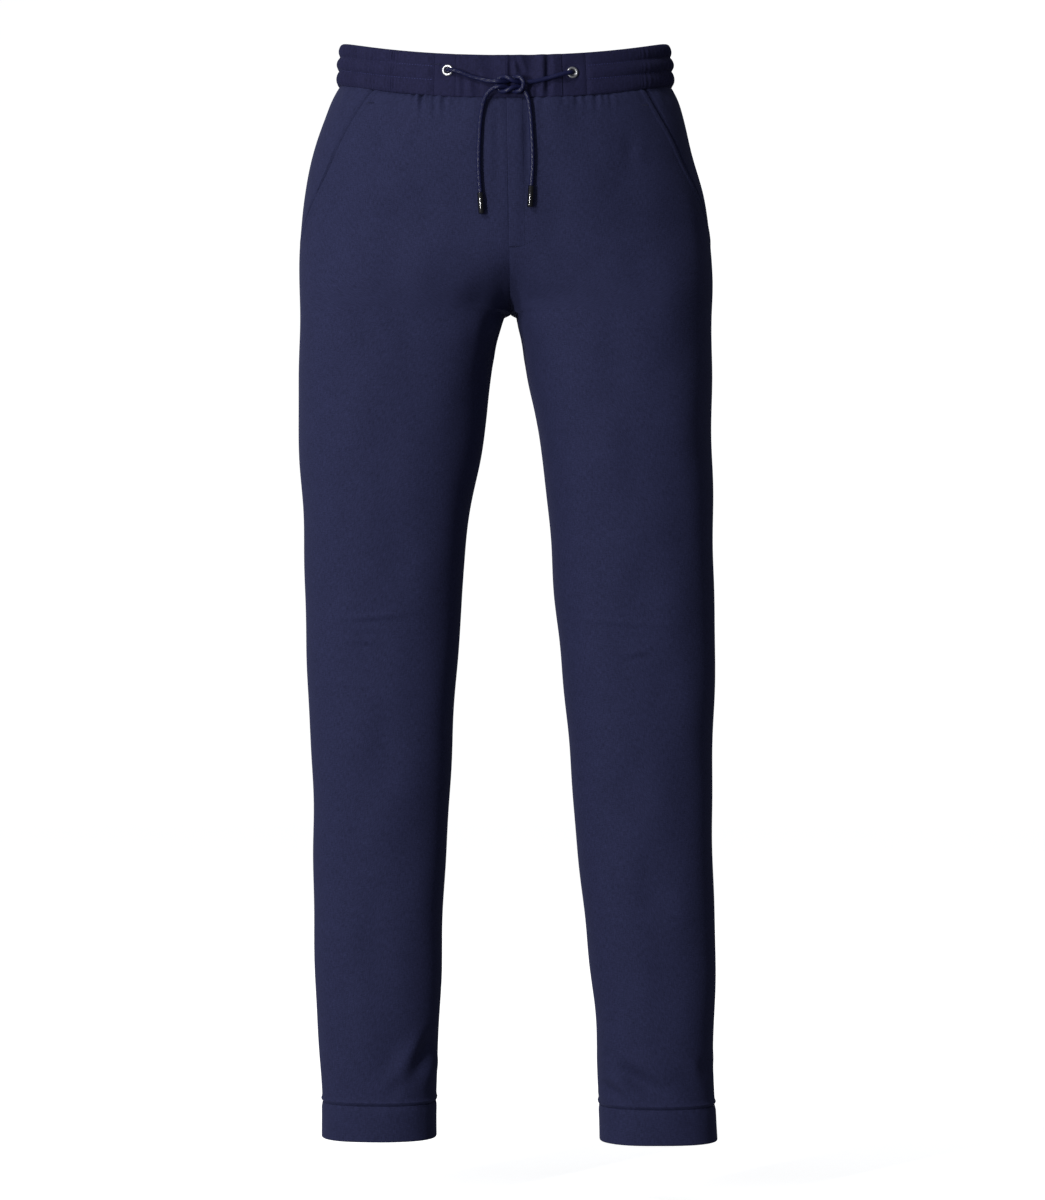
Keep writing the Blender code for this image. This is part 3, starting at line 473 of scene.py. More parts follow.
ROLL_LIFT = 0.1           # the eyelet's roll stands this far off the cloth
ROLL_TUCK = 0.3           # and is turned in by this much at its rim
ROLL_STEPS = 16
EYELET_SIDES = 64
CORD_STEP = 0.7           # between two rings of the cord
CORD_SIDES = 20
BRAID_STRANDS = 4
BRAID_RELIEF = 0.015      # share of the radius by which a strand stands out
TIP_SIDES = 40

STITCH_LENGTH = 1.9
STITCH_PITCH = 2.7
STITCH_WIDTH = 0.62
STITCH_HEIGHT = 0.38
STITCH_RINGS = 5
STITCH_SIDES = 6
STITCH_ROUNDNESS = 0.6
STITCH_LIFT = 0.1         # a row's threads lie this far out from the cloth
CHORD = 0.2               # a thread's direction is read this far before and after it
ROW_POINTS = 1600         # points from which a long row's places are read
ROW_END = 0.004           # share of the elastic that is left free at each end of a row
BARTACK_PITCH = 0.75
BARTACK_WIDTH = 2.4
BAND_TACK_WIDTH = BARTACK_WIDTH * 0.7

# What shows of each piece, laid flat: width and length, and its own area where it isn't a rectangle.
Cut = namedtuple("Cut", "width length area")


# ---- colours and settings --------------------------------------------------------------------
def linear(code):
    """An sRGB hex colour as linear red, green and blue."""
    parts = [int(code[place:place + 2], 16) / 255 for place in (1, 3, 5)]
    return tuple(c / 12.92 if c <= 0.04045 else ((c + 0.055) / 1.055) ** 2.4 for c in parts)


def colour_property(name, description, code):
    """A colour setting with an sRGB hex default."""
    return FloatVectorProperty(name=name, description=description, subtype="COLOR", size=3,
                               min=0.0, max=1.0, default=linear(code))


class SlacksCloth(bpy.types.PropertyGroup):
    """Sizes and colours of the jersey."""

    navy: colour_property("Navy", "Colour of the leg panels", "#2b2e4e")
    dark: colour_property("Dark yarn", "Colour of the darker yarns", "#171930")
    band: colour_property("Waistband", "Colour of the waistband", "#242445")
    band_dark: colour_property("Waistband's dark yarn", "Colour of its darker yarns", "#121227")
    sheen: colour_property("Sheen", "Colour of the short nap at the edges", "#7a80c0")
    thread: colour_property("Thread", "Colour of the sewing thread", "#3c4176")
    crease: FloatProperty(name="Crease strength", description="Multiplies the height of every crease",
                          default=1.0, min=0.0, max=2.0, subtype="FACTOR")
    yarn: FloatProperty(name="Yarn spacing", description="Distance between the flecks that stand for yarns",
                        default=0.0009, min=0.0003, max=0.01, unit="LENGTH")


class SlacksWaistband(bpy.types.PropertyGroup):
    """Sizes of the gathered waistband."""

    gathers: IntProperty(name="Gathers", description="Number of gathers on each elastic side",
                         default=84, min=10, max=160)
    depth: FloatProperty(name="Gather depth", description="How far a gather stands out",
                         default=0.0011, min=0.0, max=0.004, unit="LENGTH")


class SlacksCord(bpy.types.PropertyGroup):
    """Sizes and colours of the drawstring."""

    radius: FloatProperty(name="Radius", description="Half the drawstring's thickness",
                          default=CORD_RADIUS * MM, min=0.001, max=0.004, unit="LENGTH")
    braid: FloatProperty(name="Braid pitch", description="Length of one turn of a strand",
                         default=0.009, min=0.002, max=0.03, unit="LENGTH")
    colour: colour_property("Cord", "Colour of the braid", "#1c1f48")
    # painted shade: the darker colour that the braid takes between its strands
    dark: colour_property("Cord gaps", "Colour between the strands", "#0e1028")


class SlacksStage(bpy.types.PropertyGroup):
    """Floor, light and camera."""

    floor: colour_property("Floor", "Colour of the floor", "#f4f4f4")
    key: FloatProperty(name="Key light", description="Strength of the main light", default=31.0,
                       min=0.0, max=2000.0, unit="POWER")
    fill: FloatProperty(name="Fill", description="Strength of the light from all round", default=0.34,
                        min=0.0, max=4.0)
    distance: FloatProperty(name="Camera distance", description="From the camera to the garment's middle",
                            default=4.0, min=1.0, max=20.0, unit="LENGTH")


# ---- curves through tables ---------------------------------------------------------------------
def smooth(keys, values, at):
    """A cubic curve through the rows, its slope at a row taken from the rows beside it."""
    keys = np.asarray(keys, float)
    values = np.asarray(values, float)
    if keys[0] > keys[-1]:
        keys, values = keys[::-1], values[::-1]
    slopes = np.gradient(values, keys)
    row = np.clip(np.searchsorted(keys, at) - 1, 0, len(keys) - 2)
    span = keys[row + 1] - keys[row]
    part = np.clip((at - keys[row]) / span, 0.0, 1.0)
    start = (1 + 2 * part) * (1 - part) ** 2
    end = part ** 2 * (3 - 2 * part)
    rise = part * (1 - part) ** 2 * span
    fall = part ** 2 * (part - 1) * span
    return start * values[row] + end * values[row + 1] + rise * slopes[row] + fall * slopes[row + 1]


def column(table, name, height):
    """One named column of a table, read smoothly at any height."""
    return smooth([row.height for row in table], [getattr(row, name) for row in table], height)


def ease(value):
    """0 to 1 with a soft start and end."""
    value = np.clip(value, 0.0, 1.0)
    return value * value * (3 - 2 * value)


def power(value, exponent):
    """A power that keeps the sign."""
    return np.sign(value) * np.abs(value) ** exponent


def waves(measure, table):
    """A sum of sines, each with its wave length and its share."""
    return sum(share * np.sin(2 * math.pi * measure / length + share * WAVE_START)
               for length, share in table)


def arc(points, axis):
    """Distance run along one direction of a grid, from its first row or column."""
    steps = np.linalg.norm(np.diff(points, axis=axis), axis=-1)
    first = np.zeros_like(np.take(steps, [0], axis=axis))
    return np.cumsum(np.concatenate([first, steps], axis=axis), axis=axis)


def spread(count):
    """Values from 0 to 1 in equal steps, with closer ones beside both ends."""
    close = np.array(EDGE_STEPS) / count
    return np.unique(np.concatenate([np.linspace(0.0, 1.0, count + 1), close, 1 - close]))


# ---- the garment's outer surface -----------------------------------------------------------------
def centre_x(height):
    """The x of the centre seams, which lean a little from waist to fork."""
    share = np.clip((BAND_BOTTOM - height) / (BAND_BOTTOM - FORK), 0.0, 1.0)
    return CENTRE_AT_WAIST + (CENTRE_AT_FORK - CENTRE_AT_WAIST) * share


def inside_of(side, height):
    """How far the inside of a leg stands from the centre line."""
    return SIDE_SIGN[side] * (column(INSEAM, side, np.minimum(height, FORK)) - centre_x(height))


def half_section(side, height):
    """Centre line, ring centre, half width, first angle and squareness of one side's section.

    Above the fork each side is a superellipse ring cut off at the centre line, whose centre
    moves out as the body parts. Below the fork the ring is whole.
    """
    sign = SIDE_SIGN[side]
    middle = centre_x(height)
    outer = sign * (column(OUTLINE, side + "_outer", height) - middle)
    inner = inside_of(side, height) * ease((FORK - height) / SPREAD_HEIGHT)
    parted = 1 - ease((height - FORK) / FORK_BLEND)
    whole = height <= FORK
    half = np.where(whole, (outer - inner) / 2, outer / (1 + parted))
    centre = np.where(whole, (outer + inner) / 2, parted * half)
    square = column(OUTLINE, "square", height)
    first = np.where(whole, -math.pi / 2, -np.arcsin(parted ** (square / 2)))
    return middle, centre, half, first, square


def waist_shift(face, height, share):
    """How far a point is moved down at the front, or up at the back, to follow the waist."""
    fade = ease((height - DIP_ENDS) / (BAND_BOTTOM - DIP_ENDS))
    if face == "front":
        return -FRONT_DIP * share ** FRONT_DIP_POWER * fade
    return BACK_LIFT * share ** 2 * fade


def plain_surface(side, face, across, height):
    """Smooth points and outward directions: a superellipse section at each height.

    across runs from 0 at the centre seam or inseam to 1 at the side seam. The outward
    direction is the section's own, less its part along the surface's run down the leg.
    """
    sign, face_sign = SIDE_SIGN[side], FACE_SIGN[face]
    middle, centre, half, first, square = half_section(side, height)
    depth = column(OUTLINE, face, height)
    angle = first + (math.pi / 2 - first) * across
    sine, cosine = np.sin(angle), np.maximum(np.cos(angle), 0.0)
    share = cosine ** (2 / square)
    unspread = np.where(height <= FORK, 1 - ease((FORK - height) / SPREAD_HEIGHT), 0.0)
    drawn_out = inside_of(side, height) * unspread * ((1 - sine) / 2) ** INSIDE_POWER
    points = np.stack([
        middle + sign * (centre + half * power(sine, 2 / square) + drawn_out - SEWN_LAP),
        face_sign * (depth * share + SEWN_GAP),
        height + waist_shift(face, height, share),
    ], axis=-1)
    outward = np.stack([
        sign * power(sine, 2 - 2 / square) / half,
        face_sign * cosine ** (2 - 2 / square) / depth,
        np.zeros_like(share),
    ], axis=-1)
    down = np.gradient(points, axis=0)
    outward -= down * (np.sum(outward * down, -1) / np.sum(down * down, -1))[..., None]
    return points, outward / np.linalg.norm(outward, axis=-1)[..., None]


def fold_line(x, z, x1, z1, x2, z2, bow, width):
    """Share run along a bowed line, and the distance beside it in widths."""
    length = math.hypot(x2 - x1, z2 - z1)
    along_x, along_z = (x2 - x1) / length, (z2 - z1) / length
    run = ((x - x1) * along_x + (z - z1) * along_z) / length
    bowed = bow * (1 - (2 * np.clip(run, 0.0, 1.0) - 1) ** 2)
    beside = (x - x1) * along_z - (z - z1) * along_x - bowed
    return run, beside / width


def fold_shape(beside):
    """A bell across the line, less a smaller bell on each side, where the cloth swells."""
    return np.exp(-beside ** 2) - SWELL * np.exp(-((np.abs(beside) - SWELL_AT) / SWELL_WIDTH) ** 2)


def crease_relief(side, face, x, z):
    """Sum of the creases: the fold's shape across, rising to its lead and dying out after it."""
    relief = np.zeros_like(x)
    for crease in CREASES[side, face]:
        run, beside = fold_line(x, z, crease.x1, crease.z1, crease.x2, crease.z2, crease.bow, crease.width)
        strength = ease((1 - run) / (1 - crease.lead))
        if crease.lead > 0:
            strength = strength * ease(run / crease.lead)
        relief += crease.height * strength * fold_shape(beside)
    return relief


def sway_relief(x, z):
    """Sum of long slanting sines over the cloth."""
    return sum(sway.height * np.sin(2 * math.pi * (x / sway.wide + z / sway.tall) + sway.start)
               for sway in SWAYS)


def panel_form(side, face, across, heights, strength):
    """The creased surface: the smooth one moved out by the creases and the sway."""
    height = np.repeat(heights[:, None], across.shape[1], axis=1)
    points, outward = plain_surface(side, face, across, height)
    x, z = points[..., 0], points[..., 2]
    at_seams = ease(across / CREASE_FADE) * ease((1 - across) / CREASE_FADE)
    at_centre = 1 - (1 - ease(across / SWAY_FADE)) * ease((height - FORK) / SWAY_BLEND + 1)
    relief = crease_relief(side, face, x, z) * at_seams + sway_relief(x, z) * at_centre
    return points + outward * (strength * relief)[..., None], outward


def seam_dip(distance):
    """How far cloth bends in at a distance from a seam: a bell."""
    return SEAM_DIP * np.exp(-(distance / SEAM_REACH) ** 2)


def centre_hold(height):
    """How much a seam beside the centre may bend in: not at all at the fork, where two legs meet."""
    return np.where(height > FORK, ease((height - FORK) / FORK_BLEND) ** 2, ease((FORK - height) / FORK_SOFT))


def edge_roll(distance, radius):
    """Drop of a rounded edge at a distance from it: a quarter circle."""
    rest = np.clip(1 - distance / radius, 0.0, 1.0)
    return radius * (1 - np.sqrt(1 - rest ** 2))


def across_at(side, offset, height):
    """The across value at a distance from the centre line, on the front above the fork."""
    _, centre, half, first, square = half_section(side, height)
    angle = np.arcsin(np.clip(power((offset - centre) / half, square / 2), -1.0, 1.0))
    return (angle - first) / (math.pi / 2 - first)


def band_surface(turn, height):
    """The waistband's plain outer surface and outward directions: a dipped superellipse ring.

    turn is the angle round from the centre front, positive towards the wearer's left.
    """
    sine, cosine = np.sin(turn), np.cos(turn)
    face_share = np.abs(cosine) ** (2 / BAND_SQUARE)
    width = np.where(sine < 0, CENTRE_AT_WAIST - column(BAND, "right_outer", height),
                     column(BAND, "left_outer", height) - CENTRE_AT_WAIST)
    depth = np.where(cosine > 0, column(BAND, "front", height), column(BAND, "back", height))
    shift = np.where(cosine > 0, -FRONT_DIP * face_share ** FRONT_DIP_POWER, BACK_LIFT * face_share ** 2)
    points = np.stack([
        CENTRE_AT_WAIST + width * power(sine, 2 / BAND_SQUARE),
        -depth * power(cosine, 2 / BAND_SQUARE),
        height + shift,
    ], axis=-1)
    outward = np.stack([
        power(sine, 2 - 2 / BAND_SQUARE) / width,
        -power(cosine, 2 - 2 / BAND_SQUARE) / depth,
        np.zeros_like(width),
    ], axis=-1)
    return points, outward / np.linalg.norm(outward, axis=-1)[..., None]


def turn_at(x):
    """The turn of a point of the waistband's front, from its x."""
    outer = BAND[1].left_outer if x > CENTRE_AT_WAIST else -BAND[1].right_outer
    width = outer - math.copysign(CENTRE_AT_WAIST, x - CENTRE_AT_WAIST)
    share = (x - CENTRE_AT_WAIST) / width
    return math.asin(math.copysign(abs(share) ** (BAND_SQUARE / 2), share))


def front_y(x, z):
    """The y of the garment's front at a point seen from the front, waistband or panels."""
    side = "left" if x > centre_x(z) else "right"
    heights = np.arange(BAND_TOP, FORK, -1.0)
    on_band = heights > BAND_BOTTOM
    band_outer = column(BAND, "left_outer" if x > CENTRE_AT_WAIST else "right_outer", heights)
    band_share = (x - CENTRE_AT_WAIST) / (band_outer - CENTRE_AT_WAIST)
    body = np.minimum(heights, BAND_BOTTOM)
    middle, centre, half, _, square = half_section(side, body)
    body_share = (SIDE_SIGN[side] * (x - middle) - centre) / half
    share = np.abs(np.where(on_band, band_share, body_share))
    square = np.where(on_band, BAND_SQUARE, square)
    front_share = np.clip(1 - share ** square, 0.0, 1.0) ** (1 / square)
    depth = np.where(on_band, column(BAND, "front", heights), column(OUTLINE, "front", body))
    true_height = heights + waist_shift("front", np.minimum(heights, BAND_BOTTOM), front_share)
    return float(np.interp(-z, -true_height, -depth * front_share))


# ---- meshes ------------------------------------------------------------------------------------
def make_object(name, points, faces, finish, nodes=(), cloth_map=None):
    """One piece from points in millimetres and four-cornered faces, riding on the garment."""
    mesh = bpy.data.meshes.new(name)
    mesh.vertices.add(len(points))
    mesh.vertices.foreach_set("co", (points * MM).astype(np.float32).ravel())
    mesh.loops.add(faces.size)
    mesh.loops.foreach_set("vertex_index", faces.astype(np.int32).ravel())
    mesh.polygons.add(len(faces))
    mesh.polygons.foreach_set("loop_start", np.arange(0, faces.size, 4, dtype=np.int32))
    mesh.update(calc_edges=True)
    mesh.validate()
    if cloth_map is not None:
        layer = mesh.uv_layers.new(name=CLOTH_MAP)
        layer.uv.foreach_set("vector", (cloth_map[faces.ravel()] * MM).astype(np.float32).ravel())
    made = bpy.data.objects.new(name, mesh)
    bpy.context.scene.collection.objects.link(made)
    mesh.materials.append(finish)
    mesh.shade_smooth()
    mesh.set_sharp_from_angle(angle=SMOOTH_ANGLE)
    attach(made, BODY)
    if nodes:
        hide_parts(*nodes)
    return made


def merge_and_face_out(made):
    """Close the poles of a turned piece and point its faces outwards."""
    work = bmesh.new()
    work.from_mesh(made.data)
    bmesh.ops.remove_doubles(work, verts=work.verts, dist=1e-6)
    bmesh.ops.recalc_face_normals(work, faces=work.faces)
    work.to_mesh(made.data)
    work.free()
    made.data.shade_smooth()
    made.data.set_sharp_from_angle(angle=SMOOTH_ANGLE)


def grid_faces(rows, columns, wraps):
    """Corner numbers of a grid's faces, one row for each face."""
    number = np.arange(rows * columns).reshape(rows, columns)
    if wraps:
        number = np.concatenate([number, number[:, :1]], axis=1)
    corners = [number[:-1, :-1], number[1:, :-1], number[1:, 1:], number[:-1, 1:]]
    return np.stack(corners, axis=-1).reshape(-1, 4), number


def wall(name, outer, inner, outward, finish, nodes=(), wraps=False):
    """A closed wall of cloth: an outer grid, an inner one, and the rims that join them.

    The cloth map gives each point its distance along and down the cloth.
    """
    rows, columns = outer.shape[:2]
    under = rows * columns
    front, number = grid_faces(rows, columns, wraps)

    def rim(edge):
        return np.stack([edge[:-1], edge[1:], edge[1:] + under, edge[:-1] + under], axis=-1)

    rims = [rim(number[0]), rim(number[-1][::-1])]
    if not wraps:
        rims += [rim(number[::-1, 0]), rim(number[:, -1])]
    faces = np.concatenate([front, front[:, ::-1] + under] + rims)
    down, along = np.diff(outer, axis=0)[:, :-1], np.diff(outer, axis=1)[:-1]
    if np.sum(np.cross(down, along) * outward[:-1, :-1]) < 0:
        faces = faces[:, ::-1]
    places = np.stack([arc(outer, 1), arc(outer, 0)], axis=-1).reshape(-1, 2)
    points = np.concatenate([outer.reshape(-1, 3), inner.reshape(-1, 3)])
    return make_object(name, points, faces, finish, nodes, np.concatenate([places, places]))


def turned_points(profile, sides):
    """A profile of radius and distance along Z carried round Z."""
    angles = np.arange(sides) * 2 * math.pi / sides
    radius, along = np.array(profile, float).T
    return np.stack([np.outer(radius, np.cos(angles)), np.outer(radius, np.sin(angles)),
                     np.outer(along, np.ones(sides))], axis=-1)


def placed(points, origin, direction):
    """Points turned from Z to a direction and moved to an origin."""
    turn = np.array(Vector((0, 0, 1)).rotation_difference(Vector(direction)).to_matrix())
    return points @ turn.T + np.asarray(origin)


# ---- finishes ----------------------------------------------------------------------------------
def add_node(tree, kind, inputs=None, **settings):
    """Add a node with its settings; an input is a value or the socket that feeds it."""
    made = tree.nodes.new(kind)
    for name, value in settings.items():
        setattr(made, name, value)
    for name, value in (inputs or {}).items():
        if isinstance(value, bpy.types.NodeSocket):
            tree.links.new(value, made.inputs[name])
        else:
            made.inputs[name].default_value = value
    return made


def new_finish(name, **values):
    """A material with its node tree and Principled shader, the shader's own sockets set."""
    made = bpy.data.materials.new(name)
    made.use_nodes = True
    shader = made.node_tree.nodes["Principled BSDF"]
    for socket, value in values.items():
        shader.inputs[socket.replace("_", " ")].default_value = value
    return made, made.node_tree, shader


def with_alpha(colour):
    """A colour with its alpha."""
    return (*colour, 1.0)


def jersey(name, light, dark, cloth):
    """Brushed double jersey of viscose and polyester: matt, faintly heathered, with a soft nap.

    The yarns lie about 0.5 mm apart, too fine to show, so the flecks that stand for them are
    drawn coarser. Broad mottling is the uneven take-up of the dye.
    """
    made, tree, shader = new_finish(name, Roughness=0.85, Sheen_Weight=0.12, Sheen_Roughness=0.5,
                                    Sheen_Tint=with_alpha(cloth.sheen), IOR=1.45, Specular_IOR_Level=0.15)
    place = add_node(tree, "ShaderNodeUVMap", uv_map=CLOTH_MAP)
    yarn = 1.0 / cloth.yarn
    flecks = []
    for scale in ((yarn, yarn / 6, 1.0), (yarn / 4, yarn, 1.0)):
        lined = add_node(tree, "ShaderNodeMapping", {"Vector": place.outputs["UV"], "Scale": scale})
        flecks.append(add_node(tree, "ShaderNodeTexNoise", {
            "Vector": lined.outputs["Vector"], "Scale": 1.0, "Detail": 1.0, "Roughness": 0.6}))
    fleck = add_node(tree, "ShaderNodeMath", {0: flecks[0].outputs["Fac"], 1: flecks[1].outputs["Fac"]},
                     operation="ADD")
    spot = add_node(tree, "ShaderNodeTexCoord")
    mottle = add_node(tree, "ShaderNodeTexNoise", {
        "Vector": spot.outputs["Object"], "Scale": 60.0, "Detail": 2.0, "Roughness": 0.6})
    both = add_node(tree, "ShaderNodeMath", {
        0: mottle.outputs["Fac"], 1: MOTTLE_SHARE, 2: fleck.outputs["Value"]}, operation="MULTIPLY_ADD")
    share = add_node(tree, "ShaderNodeMapRange", {
        "Value": both.outputs["Value"], "From Min": 0.6, "From Max": 1.7})
    mixed = add_node(tree, "ShaderNodeMix", {
        "Factor": share.outputs["Result"], "A": with_alpha(dark), "B": with_alpha(light)}, data_type="RGBA")
    tree.links.new(mixed.outputs["Result"], shader.inputs["Base Color"])
    bump = add_node(tree, "ShaderNodeBump", {
        "Height": fleck.outputs["Value"], "Strength": 0.25, "Distance": 0.0004})
    tree.links.new(bump.outputs["Normal"], shader.inputs["Normal"])
    return made


def braid(name, cord):
    """Tight round braid of polyester: a slight lustre, with painted shade between the strands."""
    made, tree, shader = new_finish(name, Roughness=0.34, IOR=1.5, Specular_IOR_Level=0.25)
    place = add_node(tree, "ShaderNodeUVMap", uv_map=CLOTH_MAP)
    lined = add_node(tree, "ShaderNodeMapping", {
        "Vector": place.outputs["UV"], "Scale": (2.0 * BRAID_STRANDS, 1.0 / cord.braid, 1.0)})
    check = add_node(tree, "ShaderNodeTexWave", {
        "Vector": lined.outputs["Vector"], "Scale": 1.0, "Distortion": 0.4}, bands_direction="DIAGONAL")
    # painted shade: the strand wave darkens the base colour towards the gaps between the strands
    mixed = add_node(tree, "ShaderNodeMix", {
        "Factor": check.outputs["Fac"], "A": with_alpha(cord.dark), "B": with_alpha(cord.colour)},
        data_type="RGBA")
    tree.links.new(mixed.outputs["Result"], shader.inputs["Base Color"])
    bump = add_node(tree, "ShaderNodeBump", {
        "Height": check.outputs["Fac"], "Strength": 0.35, "Distance": 0.0003})
    tree.links.new(bump.outputs["Normal"], shader.inputs["Normal"])
    return made


def lacquer(name):
    """Black gloss lacquer on a metal cord end: near-black, with one hard bright streak."""
    made, tree, shader = new_finish(name, Roughness=0.12, IOR=1.5, Specular_IOR_Level=1.0)
    place = add_node(tree, "ShaderNodeTexCoord")
    wear = add_node(tree, "ShaderNodeTexNoise", {
        "Vector": place.outputs["Object"], "Scale": 900.0, "Detail": 2.0})
    mixed = add_node(tree, "ShaderNodeMix", {
        "Factor": wear.outputs["Fac"], "A": with_alpha(linear("#040408")),
        "B": with_alpha(linear("#0a0a12"))}, data_type="RGBA")
    tree.links.new(mixed.outputs["Result"], shader.inputs["Base Color"])
    return made


def nickel(name):
    """Satin nickel plate on brass: bright and cool, with faint tumbling marks."""
    made, tree, shader = new_finish(name, Metallic=1.0, Roughness=0.42)
    place = add_node(tree, "ShaderNodeTexCoord")
    marks = add_node(tree, "ShaderNodeTexNoise", {
        "Vector": place.outputs["Object"], "Scale": 1400.0, "Detail": 3.0})
    mixed = add_node(tree, "ShaderNodeMix", {
        "Factor": marks.outputs["Fac"], "A": with_alpha(linear("#c4c5c9")),
        "B": with_alpha(linear("#eeeff2"))}, data_type="RGBA")
    tree.links.new(mixed.outputs["Result"], shader.inputs["Base Color"])
    bump = add_node(tree, "ShaderNodeBump", {
        "Height": marks.outputs["Fac"], "Strength": 0.08, "Distance": 0.0001})
    tree.links.new(bump.outputs["Normal"], shader.inputs["Normal"])
    return made


def spun_thread(name, colour):
    """Spun polyester sewing thread: a little lighter and shinier than the cloth."""
    made, tree, shader = new_finish(name, Roughness=0.6, IOR=1.5, Specular_IOR_Level=0.15)
    place = add_node(tree, "ShaderNodeTexCoord")
    twist = add_node(tree, "ShaderNodeTexNoise", {
        "Vector": place.outputs["Object"], "Scale": 1600.0, "Detail": 1.0})
    mixed = add_node(tree, "ShaderNodeMix", {
        "Factor": twist.outputs["Fac"], "A": with_alpha([part * 0.6 for part in colour]),
        "B": with_alpha(colour)}, data_type="RGBA")
    tree.links.new(mixed.outputs["Result"], shader.inputs["Base Color"])
    return made


def finish(kind):
    """The finish of that name, made on its first use."""
    found = bpy.data.materials.get(kind)
    if found:
        return found
    scene = bpy.context.scene
    cloth, cord = scene.slacks_cloth, scene.slacks_cord
    makers = {
        "brushed jersey, navy": lambda: jersey(kind, cloth.navy, cloth.dark, cloth),
        "brushed jersey, waistband": lambda: jersey(kind, cloth.band, cloth.band_dark, cloth),
        "polyester braid, navy": lambda: braid(kind, cord),
        "gloss lacquer, black": lambda: lacquer(kind),
        "nickel plate, satin": lambda: nickel(kind),
        "spun thread, blue": lambda: spun_thread(kind, cloth.thread),
        "spun thread, navy": lambda: spun_thread(kind, [part * 0.8 for part in cloth.navy]),
    }
    return makers[kind]()


# ---- cloth pieces --------------------------------------------------------------------------------
def panel_heights(side, end=None):
    """Heights of a panel's rows, closer at its ends and where creases lie across."""
    top = BAND_BOTTOM + BEHIND_BAND
    bottom = end if end is not None else HEM_BOTTOM[side] + HEM_HEIGHT - BEHIND_BAND
    edges = np.array(EDGE_ROWS)
    stops = [row.height for row in ROW_STEPS[1:]] + [bottom]
    rows = [np.arange(row.height, stop, -row.step) for row, stop in zip(ROW_STEPS, stops)]
    middle = np.concatenate(rows)
    middle = middle[middle > bottom + edges[-1] + ROW_CLEAR]
    return np.concatenate([top - edges, middle, (bottom + edges)[::-1]])


def mouth_at(side, heights):
    """Where the pocket mouth crosses each row: 1 below its end, at the side seam."""
    return np.where(heights > MOUTH[-1].height, column(MOUTH, side, heights), 1.0)


def waist_ripple(face, along, down):
    """Small uneven gathers that die out below the waistband seam."""
    return RIPPLE[face] * waves(along, RIPPLE_WAVES) * np.exp(-down / RIPPLE_REACH)


def make_panel(cloth, side, face):
    """A front or back panel: the creased surface, bent in at its seams, with rounded edges.

    On a front the last column follows the pocket mouth, whose turned edge stands a little proud.
    """
    heights = panel_heights(side)
    columns = spread(FRONT_COLUMNS if face == "front" else BACK_COLUMNS)
    reach = mouth_at(side, heights) if face == "front" else np.ones_like(heights)
    across = reach[:, None] * columns[None, :]
    points, outward = panel_form(side, face, across, heights, cloth.crease)
    along, down = arc(points, 1), arc(points, 0)
    to_side, to_hem = along[:, -1:] - along, down[-1:] - down
    opened = ease((heights - MOUTH[-1].height) / MOUTH_CLOSE)[:, None] * (face == "front")
    hold = centre_hold(heights)[:, None]
    ends = END_DIP * (np.exp(-(down / END_REACH) ** 2) + np.exp(-(to_hem / END_REACH) ** 2))
    dip = seam_dip(along) * hold + seam_dip(to_side) * (1 - opened) + ends
    swell = HEM_BULGE * np.exp(-((to_hem - HEM_BULGE_AT) / HEM_BULGE_WIDTH) ** 2)
    swell = swell + opened * WELT_RISE * ease((WELT_WIDTH - to_side) / WELT_SOFT)
    swell = swell + cloth.crease * waist_ripple(face, along, down)
    to_edge = np.minimum(np.minimum(along + (1 - hold) * EDGE_RADIUS, to_side), np.minimum(down, to_hem))
    middle = points + outward * (swell - dip)[..., None]
    made = wall(f"{face}_panel_{side}", middle - outward * edge_roll(to_edge, EDGE_RADIUS)[..., None],
                middle - outward * PANEL_CLOTH, outward, finish("brushed jersey, navy"),
                [f"{face}_{side}"])


def make_pocket_side(cloth, side):
    """The piece behind the pocket mouth: level at the side seam, tucked under the front's edge."""
    heights = panel_heights(side, SIDE_PIECE_END)
    mouth = mouth_at(side, heights)[:, None]
    beyond = mouth + (1.0 - mouth) * spread(POCKET_COLUMNS)[None, :]
    tucked = mouth - MOUTH_TUCK * (1 - np.linspace(0, 1, TUCK_COLUMNS + 1)[None, :-1])
    across = np.concatenate([tucked, beyond], axis=1)
    shut = mouth[:, 0] >= 1.0
    across[shut] = 1.0 - MOUTH_TUCK * (1 - np.linspace(0, 1, across.shape[1]))
    points, outward = panel_form(side, "front", across, heights, cloth.crease)
    sunk = (PANEL_CLOTH + SEAM_GAP + MOUTH_SLACK) * (1 - ease((across - mouth) / MOUTH_RISE))
    along, down = arc(points, 1), arc(points, 0)
    to_side = along[:, -1:] - along
    dip = seam_dip(to_side) + seam_dip(down)
    to_edge = np.minimum(to_side, down)
    middle = points - outward * (sunk + dip)[..., None]
    made = wall(f"pocket_piece_{side}", middle - outward * edge_roll(to_edge, EDGE_RADIUS)[..., None],
                middle - outward * PANEL_CLOTH, outward, finish("brushed jersey, navy"),
                [f"pocket_side_{side}"])


